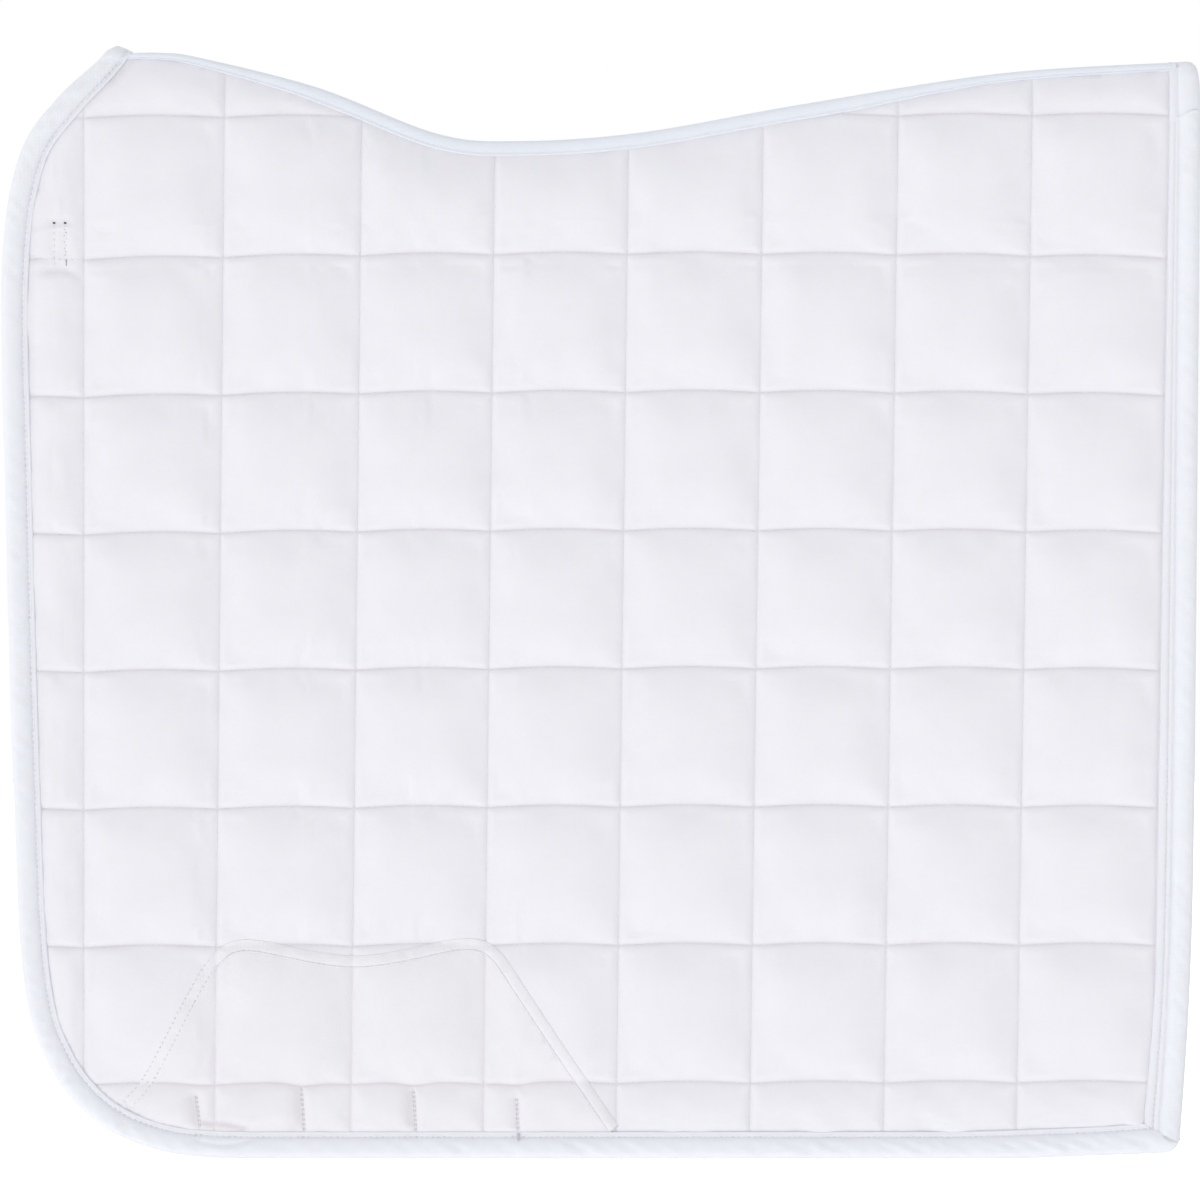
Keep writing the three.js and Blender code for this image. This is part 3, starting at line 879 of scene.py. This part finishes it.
def girth_patch(side):
    cloth = slab(
        side + "_patch", side, patch_faces, patch_out + patch_lift, patch_out - 0.1 * UP,
        PATCH, SEAM_SHADE_AMOUNT[patch_used],
    )
    on_half(cloth, side, "patch_cotton", "girth_patch")


# Section of the trim tape: share of its half width, height over the patch, painted shade: darker in its
# stitch groove, and a painted shadow along its inner edge.
TRIM_SECTION = (
    (-1.0, -0.3, 0), (-0.96, -0.1, 0), (-0.86, 0.08, 0), (-0.6, 0.34, 0), (-0.2, 0.58, 0), (0.25, 0.7, 0),
    (0.6, 0.7, 0), (0.74, 0.4, 0.6), (0.8, 0.38, 0.6), (0.86, 0.6, 0.1), (0.96, 0.45, 0.3), (1.0, -0.1, 1.0),
)


def patch_trim(side):
    along = lengths_along(trim_line)
    flat_part = np.clip((lengths_along(spline(TRIM_LEFT))[-1] - along) / 6 + 0.5, 0, 1)
    rings = []
    tints = []
    half_width = TRIM_WIDTH / 2 * trim_normal
    base = np.maximum.reduce([outer_level(*(trim_line + k * half_width).T) for k in (-1, 0, 1)])
    base = smooth_line(base[:, None], 20)[:, 0]
    for share, height, tint in TRIM_SECTION:
        line = trim_line - share * half_width
        surface = outer_level(*line.T) + patch_rise(line)
        weave = 0.06 * waves(along, along * 0 + 3 * share, 2.4, 63)
        edge = 0.18 * (abs(share) > 0.9)
        lift = height * (1 - 0.85 * flat_part) + (weave - edge) * flat_part - 0.3 * np.exp(-along / 0.8)
        bridge = 0.3 * (base + PATCH_RISE - surface) * min(max(height, 0), 1) * (1 - flat_part)
        level = surface + bridge + lift + 0.04 * waves(along, along * 0 + share, 5, 61)
        rings.append(with_level(line, level))
        tints.append(tint * (1 - flat_part))
    for share in (1.0, -1.0):
        line = trim_line - share * half_width
        rings.append(with_level(line, outer_level(*line.T) - 0.2))
        tints.append(np.zeros(len(line)))
    piece = tube(side + "_trim", side, rings, TRIM, tints)
    on_half(piece, side, "trim_tape", "patch_trim")


# ---- binding

# Half of the narrow section: (inset, height over the middle of the half, painted shade in the grooves); the
# roll comes last.
ROLL_SECTION = (
    (ROLL - 0.25, 1.8, 0.15), (ROLL - 1.1, 2.5, 0.05), (ROLL - 2.5, 3.25, 0), (ROLL - 4.3, 3.8, 0),
    (4.4, 4.0, 0), (2.6, 3.65, 0), (1.2, 2.75, 0), (0.35, 1.45, 0), (0, 0, 0),
)
# Lip: (share of the lip's width, height on a narrow lip, height on a wide lip, painted shade).
LIP_SECTION = (
    (0.97, 0.5, 0.5, 1.0), (1.0, 1.15, 1.3, 1.0), (0.93, 1.7, 1.7, 0.2), (0.74, 1.95, 1.85, 0),
    (0.56, 1.95, 1.7, 0.1), (0.44, 1.9, 1.25, 0.7), (0.36, 1.8, 1.6, 0.2), (0.26, 1.65, 2.2, 0),
    (0.16, 1.5, 2.0, 0), (0.08, 1.45, 1.5, 0.25), (0.0, 1.5, 1.5, 0.25),
)
WIDE_LIP = 8.4


def finer(section):
    """The section (inset, height, painted shade) with one more point between each two, on a smooth curve."""
    steps = 2 * (len(section) - 1)
    inset, height = spline([row[:2] for row in section], steps).T
    tint = np.interp(np.arange(steps + 1) / 2, np.arange(len(section)), [row[2] for row in section])
    return list(zip(inset, height, tint))


def binding_strip(name, side, line_at, lip, end_lift, fold_round=None):
    """Sweeps the binding's section along line_at(inset), which has as many points for every inset."""
    wide = np.clip((lip - LIP) / (WIDE_LIP - LIP), 0, 1)
    one = np.ones_like(lip)
    half = [(ROLL + f * lip, low * (1 - wide) + high * wide, tint) for f, low, high, tint in LIP_SECTION]
    half += [(inset * one, height * one, tint) for inset, height, tint in finer(ROLL_SECTION)]
    full = half + [(inset, -height, tint) for inset, height, tint in half[-2::-1]]
    along = lengths_along(line_at(0 * one))
    rings = []
    tints = []
    for inset, height, tint in full:
        line = line_at(inset)
        share = np.clip(1 - inset / ROLL, 0, 1)
        creases = waves(along + 1.1 * inset, height, 15, 31)
        creases = creases + 0.7 * waves(along - 0.7 * inset, height * 0, 8, 32)
        fullness = 1 + 0.075 * creases * np.minimum(1, 3 * share)
        fullness = fullness + end_lift(along, along[-1]) * (inset < ROLL + 1)
        gather = np.where(np.abs(inset - ROLL - 0.3) < 1.0, 0.10 * np.sin(2 * math.pi * along / 2.9), 0)
        level = mid_level(*line.T) + height * (fullness + gather) - np.sign(height) * dents(*line.T)
        level = np.maximum(level, 0.15)
        if fold_round is not None:
            level = level * fold_round(lengths_along(line))
        rings.append(with_level(line, level))
        tints.append(np.full(len(line), tint))
    on_half(tube(name, side, rings, TAPE, tints), side, "binding_tape", "edge_binding")


# The crease in the binding below the first girth row.
SMILE = spline(((-207, 9.4), (-204, 8.5), (-198.5, 7.5), (-189.8, 7.3), (-180.5, 9.4)), 24)
SMILE_DEPTH = 1.3
# Silhouette of the binding where it runs over the fold at the withers: inset, x, z.
PEAK = ((0, -254.8, 566.6), (1.2, -253.4, 570), (4.5, -249, TOP_Z), (9, -244.6, 570.6), (14, -241, 568.7))


def dents(x, z):
    """Hollows that the girth rows and their puckers pull into the binding."""
    total = 0
    for k, depth in enumerate(GIRTH_DENTS):
        foot_x = girth_row(k)[1][0]
        total = total + depth * np.exp(-(((x - foot_x) / 2.6) ** 2)) * np.clip((z - 6) / 6, 0, 1)
    smile = np.exp(-((distance_to_line(np.column_stack([x, z]), SMILE) / 1.1) ** 2))
    return total + SMILE_DEPTH * smile


def front_strip_line(inset):
    """From the fold at the wither peak down the front and along the bottom to the mitre."""
    inset = float(np.asarray(inset).ravel()[0])
    front = front_line + inset * front_normal
    insets, *peak = np.array(PEAK, float).T
    top = np.array([np.interp(inset, insets, coordinate) for coordinate in peak])
    along = lengths_along(front_line)
    front = front + (top - front[0]) * np.exp(-along / 14)[:, None]
    x = np.linspace(front[-1, 0], MITRE[1][0], 800)
    z = inset + bottom_z(x) * max(0, 1 - inset / ROLL) + lip_climb(x) * min(inset / ROLL, 1)
    z = z + (front[-1, 1] - z[0]) * np.exp(-(x - x[0]) / 15)
    z = z + CORNER_RISE * min(inset / (ROLL + LIP), 1) * np.exp(-np.maximum(MITRE[0][0] - x, 0) / 13)
    past = z >= mitre_z(x) - 0.05
    last = x[np.argmax(past)] if past.any() else x[-1]
    bottom_x = np.linspace(front[-1, 0], last + 0.8, BOTTOM_STEPS)[1:]
    bottom = np.column_stack([bottom_x, np.interp(bottom_x, x, z)])
    return np.vstack([front, bottom])


FRONT_STRIP_COUNT = len(front_strip_line(0.0))




def rear_end_z(inset):
    """Height of the rear strip's folded end, which is lower along its lip."""
    return REAR_TOP_Z + 0.8 * math.sin(math.pi * min(inset / ROLL, 1)) - 2.6 * min(max(inset - 4, 0) / 7, 1)


def rear_strip_line(inset):
    """From the mitre up the rear edge to the folded end under the cap."""
    inset = np.asarray(inset) * np.ones(REAR_STEPS)
    foot_x = rear_x(20) - inset[0]
    foot_z = mitre_z(min(foot_x, MITRE[1][0])) + 2.4 * max(0, 1 - inset[0] / 2.6) ** 2
    z = np.linspace(foot_z, rear_end_z(inset[-1]), REAR_STEPS)
    return np.column_stack([rear_x(z) - inset, z])


FOLD_ROUND = 7  # how far below the fold the binding has turned to its full thickness


def fold_round(s):
    return np.sqrt(1 - (1 - np.clip(s / FOLD_ROUND, 0.0004, 1)) ** 2)


def bindings(side):
    lip = np.full(FRONT_STRIP_COUNT, LIP)
    under = lambda s, end: -0.12 * np.exp(-(end - s) / 6)
    binding_strip(side + "_binding", side, front_strip_line, lip, under, fold_round)
    z = rear_strip_line(0.0)[:, 1]
    lap = lambda s, end: 0.16 * np.exp(-s / 7) + 0.16 * np.exp(-((end - s) / 3))
    binding_strip(side + "_rear_binding", side, rear_strip_line, rear_lip(z), lap)


# ---- spine tape and caps

# From the tape's hem up to the fold: level, share of the tape's depth.
TAPE_HALF_SECTION = (
    (4.5, 1.0), (5.3, 0.99), (5.9, 0.955), (6.0, 0.91), (5.75, 0.85), (5.45, 0.8), (5.5, 0.7), (5.55, 0.55),
    (5.35, 0.4), (4.95, 0.26), (4.2, 0.13), (3.0, 0.045), (1.4, 0.006), (0, 0),
)
# Half of the lining tape: level, distance below the fold; first its inner skin, then its outer one.
LINING_TAPE_SKINS = (
    ((1.5, 17), (1.9, 13), (1.7, 9.5), (0.9, 8.4), (0, 8.1)),
    ((1.0, 17), (1.2, 13), (0.7, 10), (0, 9.2)),
)


def both_sides(half):
    """A section from hem to hem over the fold, from its half (level, depth) that ends at the fold."""
    return [(-level, depth) for level, depth in half] + list(half[-2::-1])


def spine_tape():
    """Bias tape folded over the fold: an outer skin and an inner skin, joined at both hems."""
    down = tape_depth(spine_line[:, 0])[:, None] * -left_normals(spine_line)
    outer = both_sides(TAPE_HALF_SECTION)
    inner = [(a * 0.80, max(d, 0.14)) for a, d in outer[::-1]]
    along = lengths_along(spine_line)
    tucked = 1 - 0.27 * (np.exp(-((along / 5) ** 2)) + np.exp(-(((along[-1] - along) / 5) ** 2)))
    rings = []
    for level, share in outer + inner:
        ripple = 0.08 * waves(along, along * 0 + level, 16, 71) * np.sign(level)
        rings.append(with_level(spine_line + share * down, -(level + ripple) * tucked))
    on_spine(tube("fold_tape", "left", rings, SHADED_FOLD_TAPE), "binding_tape", "spine_tape")


def lining_tape():
    """Tape that covers the fold on the horse side, between the two halves."""
    up = left_normals(spine_line)[3:-3]
    first, second = (both_sides(skin) for skin in LINING_TAPE_SKINS)
    rings = [with_level(spine_line[3:-3] - depth * up, -level) for level, depth in first + second[::-1]]
    on_spine(tube("fold_lining_tape", "left", rings, TAPE), "binding_tape", "spine_lining_tape")


CAP_LIFT = 0.4  # thickness of a cap
FRONT_CAP_REACH = 7.5  # how far the front cap runs down from the fold


def fold_cap(name, section, line_at, node_name):
    """The binding's skin over the fold; line_at(inset) runs from the fold down one side."""
    rings = []
    skins = [(*place, CAP_LIFT) for place in section] + [(*place, 0.0) for place in section[::-1]]
    for inset, height, up in skins:
        line = line_at(inset)
        s = lengths_along(line)
        hem = up * np.clip((s[-1] - s) / 0.7, 0.01, 1) ** 0.5
        level = np.maximum(mid_level(*line.T) + height, 0.15) * fold_round(s) + hem * np.minimum(1, s / 3)
        left = np.column_stack([line[:, 0], level, line[:, 1] + hem * np.exp(-s / 3)])
        right = left * [1, -1, 1]
        rings.append(np.vstack([left[::-1], right[1:]]))
    on_spine(tube(name, "left", rings, TAPE), "binding_tape", node_name)


def peak_line(inset):
    line = front_strip_line(inset)
    along = lengths_along(line)
    at = FRONT_CAP_REACH * np.linspace(0, 1, 24) ** 0.8
    return np.column_stack([np.interp(at, along, line[:, k]) for k in (0, 1)])


# Silhouette of the binding over the fold at the rear: inset, z.
REAR_CORNER_TOP = (
    (0, 555), (0.5, 559), (1.6, 561.6), (3.6, 563.3), (6, 563.8), (10, 563.6), (12, 563.3), (15.5, 563.7),
)


def rear_cap_line(inset):
    top = np.interp(inset, *np.array(REAR_CORNER_TOP).T)
    z = top - (top - rear_end_z(inset) + REAR_OVERLAP) * np.linspace(0, 1, 40) ** 1.3
    lip_inset = np.where(inset > ROLL, ROLL + (inset - ROLL) / LIP * rear_lip(z), inset)
    return np.column_stack([rear_x(z) - lip_inset, z])


def caps():
    lip = [(ROLL + f * LIP, low) for f, low, _, _ in LIP_SECTION]
    section = lip + [(inset, height) for inset, height, _ in finer(ROLL_SECTION)]
    fold_cap("front_cap", section, peak_line, "front_binding_cap")
    fold_cap("rear_cap", [(i, 0.86 * h - 0.1) for i, h in section], rear_cap_line, "rear_binding_cap")


# ---- stitches


def stitch(corners, across, radius):
    """One stitch through four points: a round body between two sunk ends, as 10 points."""
    up = radius * UP
    around = (across * radius, up, across * -radius, -up)
    rings = [corner + step for corner in corners[1:3] for step in around]
    return [corners[0] - 0.7 * up, *rings, corners[3] - 0.7 * up]


STITCH_SHARES = np.array([0, 0.18, 0.82, 1.0])
STITCH_FACES = [(0, 1 + (m + 1) % 4, 1 + m) for m in range(4)]
STITCH_FACES += [(1 + m, 1 + (m + 1) % 4, 5 + (m + 1) % 4, 5 + m) for m in range(4)]
STITCH_FACES += [(9, 5 + m, 5 + (m + 1) % 4) for m in range(4)]


def thread(side, name, paths, nodes=(), length=2.5, gap=0.7, radius=0.3, material=THREAD):
    """Rows of separate stitches along paths of points (x, level, z)."""
    points = []
    for path in paths:
        along = lengths_along(path)
        count = max(int(along[-1] // (length + gap)), 1)
        pitch = along[-1] / count
        starts = pitch * np.arange(count) + gap / 2 * pitch / (length + gap)
        at = starts[:, None] + STITCH_SHARES[None, :] * (pitch * length / (length + gap))
        p = np.stack([np.interp(at, along, path[:, k]) for k in range(3)], -1)
        direction = p[:, 3] - p[:, 0]
        direction /= np.linalg.norm(direction, axis=1)[:, None]
        across = np.cross(direction, UP)
        across /= np.maximum(np.linalg.norm(across, axis=1), 1e-9)[:, None]
        for k in range(count):
            points += stitch(p[k], across[k], radius)
    faces = [[b + corner for corner in f] for b in range(0, len(points), 10) for f in STITCH_FACES]
    points = np.array(points) * [1, side_sign(side), 1]
    piece = add_mesh(side + "_" + name, points, faces, material)
    on_half(piece, side, "stitching", *nodes)


def on_cloth(line, lift=0.05):
    return with_level(line, outer_level(*line.T) + lift)


LIP_TOP = 1.95  # height of the lip's crown over the middle of the half


def over_lip(line, lift):
    """A line laid on the cloth, and its lower end on the bottom binding where it runs that far down."""
    on_binding = line[:, 1] < ROLL + LIP - 0.3
    paths = [on_cloth(line[~on_binding], lift)]
    low = line[on_binding]
    if len(low) > 1:
        paths.append(with_level(low, mid_level(*low.T) + LIP_TOP + 0.7 * np.maximum(ROLL - low[:, 1], 0)))
    return paths


def inside_runs(line, polygon):
    """The stretches of a line that lie inside a polygon."""
    _, distance = nearest_on(line, polygon)
    runs = []
    current = []
    for point, d in zip(line, distance):
        if d > 0.5:
            current.append(point)
        elif current:
            runs.append(current)
            current = []
    runs.append(current)
    return [np.array(r) for r in runs if len(r) > 4]


STITCHED_AREA = border_polygon(ROLL + LIP, lambda z: ROLL + rear_lip(z) - 0.5, 7)


def quilting_rows():
    rows = []
    for c in range(REAR_SEAM + 1):
        z = np.linspace(5, 568, 500)
        rows += inside_runs(np.column_stack([seam_x(c, z), z]), STITCHED_AREA)
    for r in range(8):
        cc = np.linspace(-0.9, REAR_SEAM, 900)
        rows += inside_runs(np.column_stack(grid_place(cc, np.full_like(cc, r))), STITCHED_AREA)
    return rows


def quilting(side):
    rows = quilting_rows()
    thread(side, "quilting", [on_cloth(r, 0.0) for r in rows], radius=0.22)
    lining_rows = [with_level(r, sample(inner_sheet[:, 1], *r.T)) for r in rows]
    thread(side, "lining_quilting", lining_rows, radius=0.22, length=2.7, gap=0.9)


def binding_stitches(side):
    lip = rear_lip(rear_strip_line(0.0)[:, 1])
    grooves = ((front_strip_line(ROLL + 0.35), 1.5), (rear_strip_line(ROLL + 0.44 * lip), 1.4))
    rows = [with_level(row, mid_level(*row.T) + s * height) for row, height in grooves for s in (-1, 1)]
    thread(side, "binding_stitches", rows, length=2.1, gap=0.8, radius=0.26)


def trim_stitches(side):
    """One row along the lapped edge, and two rows where the trim lies flush."""
    from_middle = TRIM_STITCHES * TRIM_WIDTH / 2 * trim_normal
    seam = trim_line - from_middle
    second = trim_line + from_middle
    left_end = int(len(trim_line) * FLUSH_SHARE)
    lap_row = [on_cloth(seam[left_end:], PATCH_RISE + 0.5)]
    thread(side, "trim_stitches", lap_row, length=1.9, gap=0.9, radius=0.24)
    flush_rows = [on_cloth(row[2:left_end], 0.16) for row in (seam, second)]
    thread(side, "trim_front_stitches", flush_rows, length=1.3, gap=1.5, radius=0.26, material=SHADED_ROW_THREAD)


def girth_tacks(side):
    for k in range(len(GIRTH_ROWS_X)):
        row = evenly(girth_row(k), 1.0)
        paths = over_lip(row - [0.5, 0], PATCH_RISE) + over_lip(row + [0.5, 0], PATCH_RISE)
        name, covers = "girth_row_%d" % (k + 1), ("girth_tack_%d" % (k + 1),)
        thread(side, name, paths, covers, length=1.8, gap=0.5, radius=0.28, material=SHADED_ROW_THREAD)


def keeper_tacks(side):
    head, foot = KEEPER_ROWS_Z[1] - 1, KEEPER_ROWS_Z[0]
    front_x, back_x = KEEPER_ROWS_X
    front = [on_cloth(evenly([(front_x, head), (front_x, foot)], 1.0), 0.0)]
    thread(side, "keeper_tack_front_row", front, ("keeper_tack_front",), length=1.5, gap=1.3, radius=0.22)
    turns = enumerate(np.arange(head, foot + 4, -1.8))
    zigzag = [on_cloth(np.array([(back_x + KEEPER_ZIGZAG * (-1) ** k, z) for k, z in turns]))]
    thread(
        side, "keeper_tack_rear_row", zigzag, ("keeper_tack_rear",),
        length=0.8, gap=1.2, radius=0.3, material=SHADED_ROW_THREAD,
    )
    # Painted shade: a dark slit at the foot of the rear row.
    slit = [on_cloth(np.array([(back_x + 0.6, foot + 4.0), (back_x + 0.5, foot)]))]
    thread(side, "keeper_slit_shade", slit, length=3.4, gap=0.01, radius=0.4, material=SLIT_SHADE)
    # Painted shade: near-black marks for the needle holes at the heads of the rows.
    holes = [on_cloth(np.array([(x - 0.8, head + 1.2), (x + 0.8, head + 0.7)])) for x in KEEPER_ROWS_X]
    thread(side, "needle_hole_shades", holes, length=1.5, gap=0.01, radius=0.48, material=HOLE_SHADE)


# ---- webbing and keeper


def girth_webbing(side):
    """Ribbed webbing, caught at the four stitched rows so that it stands off in three loops."""
    x = np.linspace(GIRTH_ROWS_X[0] - 6, GIRTH_ROWS_X[-1] + 6, 220)
    level = np.full_like(x, WEBBING_LEVEL)
    for row_x in GIRTH_ROWS_X:
        level = level + WEBBING_CAUGHT * np.exp(-np.abs((x - row_x) / 5.5) ** 3)
    shares = np.linspace(0, 1, 41)
    rings = []
    for skin, places in ((1, shares), (-1, shares[::-1])):
        for share in places:
            rib = WEBBING_RIB * math.cos(2 * math.pi * share * WEBBING_RIBS)
            edge = 0.3 if share in (0, 1) else 0
            face = level if skin > 0 else level - WEBBING_THICK
            z = WEBBING_Z[0] + (WEBBING_Z[1] - WEBBING_Z[0]) * share
            rings.append(np.column_stack([x, face + skin * (rib - edge), np.full_like(x, z)]))
    on_half(tube(side + "_webbing", side, rings, WEBBING), side, "webbing", "girth_webbing")


def signed_power(values, power):
    return np.sign(values) * np.abs(values) ** power


def strap_keeper(side):
    """Flattened loop of webbing inside the front edge."""
    z = np.linspace(*KEEPER_ROWS_Z, 30)
    turn = np.linspace(0, 2 * math.pi, 49)[:-1]
    middle = sum(KEEPER_X) / 2
    half = (KEEPER_X[1] - KEEPER_X[0]) / 2
    points = []
    for half_width, half_depth in ((half, 1.15), (half - 0.7, 0.5)):
        xs = middle + half_width * signed_power(np.cos(turn), 0.5)
        levels = 2.5 + half_depth * signed_power(np.sin(turn), 0.7)
        for x, level in zip(xs, levels):
            points.append(np.column_stack([np.full_like(z, x), level + 0.05 * np.sin(z * 4.2), z]))
    rows, n = len(turn), len(z)
    outer_faces = grid_faces(rows, n, wrap_rows=True)
    inner_faces = outer_faces[:, ::-1] + rows * n
    k = np.arange(rows) * n
    foot = np.stack([k, np.roll(k, -1), np.roll(k, -1) + rows * n, k + rows * n], -1)
    faces = np.concatenate([outer_faces, inner_faces, foot, foot[:, ::-1] + n - 1])
    piece = add_mesh(side + "_keeper", np.concatenate(points) * [1, side_sign(side), 1], faces, WEBBING)
    on_half(piece, side, "webbing", "strap_keeper")


for side in ("left", "right"):
    quilted_layers(side)
    girth_patch(side)
    patch_trim(side)
    bindings(side)
    quilting(side)
    binding_stitches(side)
    trim_stitches(side)
    girth_tacks(side)
    keeper_tacks(side)
    girth_webbing(side)
    strap_keeper(side)
spine_tape()
lining_tape()
caps()

# ---- floor, light, camera

PHOTO_WIDTH = 0.618  # how much of the pad's plane the square picture shows
CAMERA_DISTANCE = 3.4
CAMERA_X = -0.0003
CAMERA_Z = 0.2869
SENSOR = 36.0
SKY_LIGHT = 0.63  # at the horizon
ZENITH_LIGHT = 0.65  # added straight above
ZENITH_COLOR = (0.93, 0.98, 0.99, 1)
ZENITH_FROM = 0.6  # height on the unit sky from which the zenith's light grows
FLOOR_GLOW = 0.80  # as the camera sees it
FLOOR_LIGHT = 0.30  # as it lights the pad
FLOOR_COLOR = (0.84, 0.84, 0.84, 1)
FLOOR_Z = -0.0004
WHITE = (1, 1, 1, 1)


def for_camera(tree, seen, otherwise):
    """One value for what the camera sees, another for the light that falls on the pad."""
    direct = node(tree, "ShaderNodeLightPath", output="Is Camera Ray")
    return node(tree, "ShaderNodeMix", {"Factor": direct, "A": otherwise, "B": seen}, "Result")


def pale_floor():
    bpy.ops.mesh.primitive_plane_add(size=14, location=(0, 0, FLOOR_Z))
    made = bpy.context.object
    made.name = "floor"
    made.visible_shadow = False
    material = bpy.data.materials.new("pale_floor")
    material.use_nodes = True
    tree = material.node_tree
    feed(tree, tree.nodes["Principled BSDF"], {
        "Base Color": FLOOR_COLOR,
        "Roughness": 1,
        "Emission Color": WHITE,
        "Emission Strength": for_camera(tree, FLOOR_GLOW, FLOOR_LIGHT),
    })
    made.data.materials.append(material)


def white_world():
    """White behind the pad, and a softer white as the light that falls on it."""
    world = bpy.data.worlds.new("studio")
    bpy.context.scene.world = world
    world.use_nodes = True
    tree = world.node_tree
    direction = node(tree, "ShaderNodeTexCoord", output="Generated")
    up = node(tree, "ShaderNodeSeparateXYZ", {0: direction}, "Z")
    height = in_range(tree, up, 0.0, 1.0, ZENITH_FROM, 1.0)
    tint = {"Factor": height, "A": WHITE, "B": ZENITH_COLOR}
    glow = in_range(tree, height, SKY_LIGHT, SKY_LIGHT + ZENITH_LIGHT)
    feed(tree, tree.nodes["Background"], {
        "Color": node(tree, "ShaderNodeMix", tint, "Result", data_type="RGBA"),
        "Strength": for_camera(tree, 1.0, glow),
    })


# Soft lights: name, strength, size in degrees, direction in which the light travels.
LIGHTS = (
    ("key", 0.67, 22, (0.51, 0.77, 0.38)),
    ("rim", 0.34, 35, (0.97, 0.14, 0.12)),
)


def soft_lights():
    for name, energy, degrees, direction in LIGHTS:
        lamp = bpy.data.lights.new(name, "SUN")
        lamp.energy = energy
        lamp.angle = math.radians(degrees)
        holder = bpy.data.objects.new(name, lamp)
        bpy.context.scene.collection.objects.link(holder)
        holder.rotation_euler = Vector(direction).to_track_quat("-Z", "Y").to_euler()


def camera():
    data = bpy.data.cameras.new("camera")
    data.sensor_width = SENSOR
    data.lens = SENSOR * CAMERA_DISTANCE / PHOTO_WIDTH
    holder = bpy.data.objects.new("camera", data)
    bpy.context.scene.collection.objects.link(holder)
    holder.location = (CAMERA_X, -CAMERA_DISTANCE, CAMERA_Z)
    holder.rotation_euler = (math.radians(90), 0, 0)
    bpy.context.scene.camera = holder


pale_floor()
white_world()
soft_lights()
camera()
bpy.context.scene.view_settings.view_transform = "Standard"
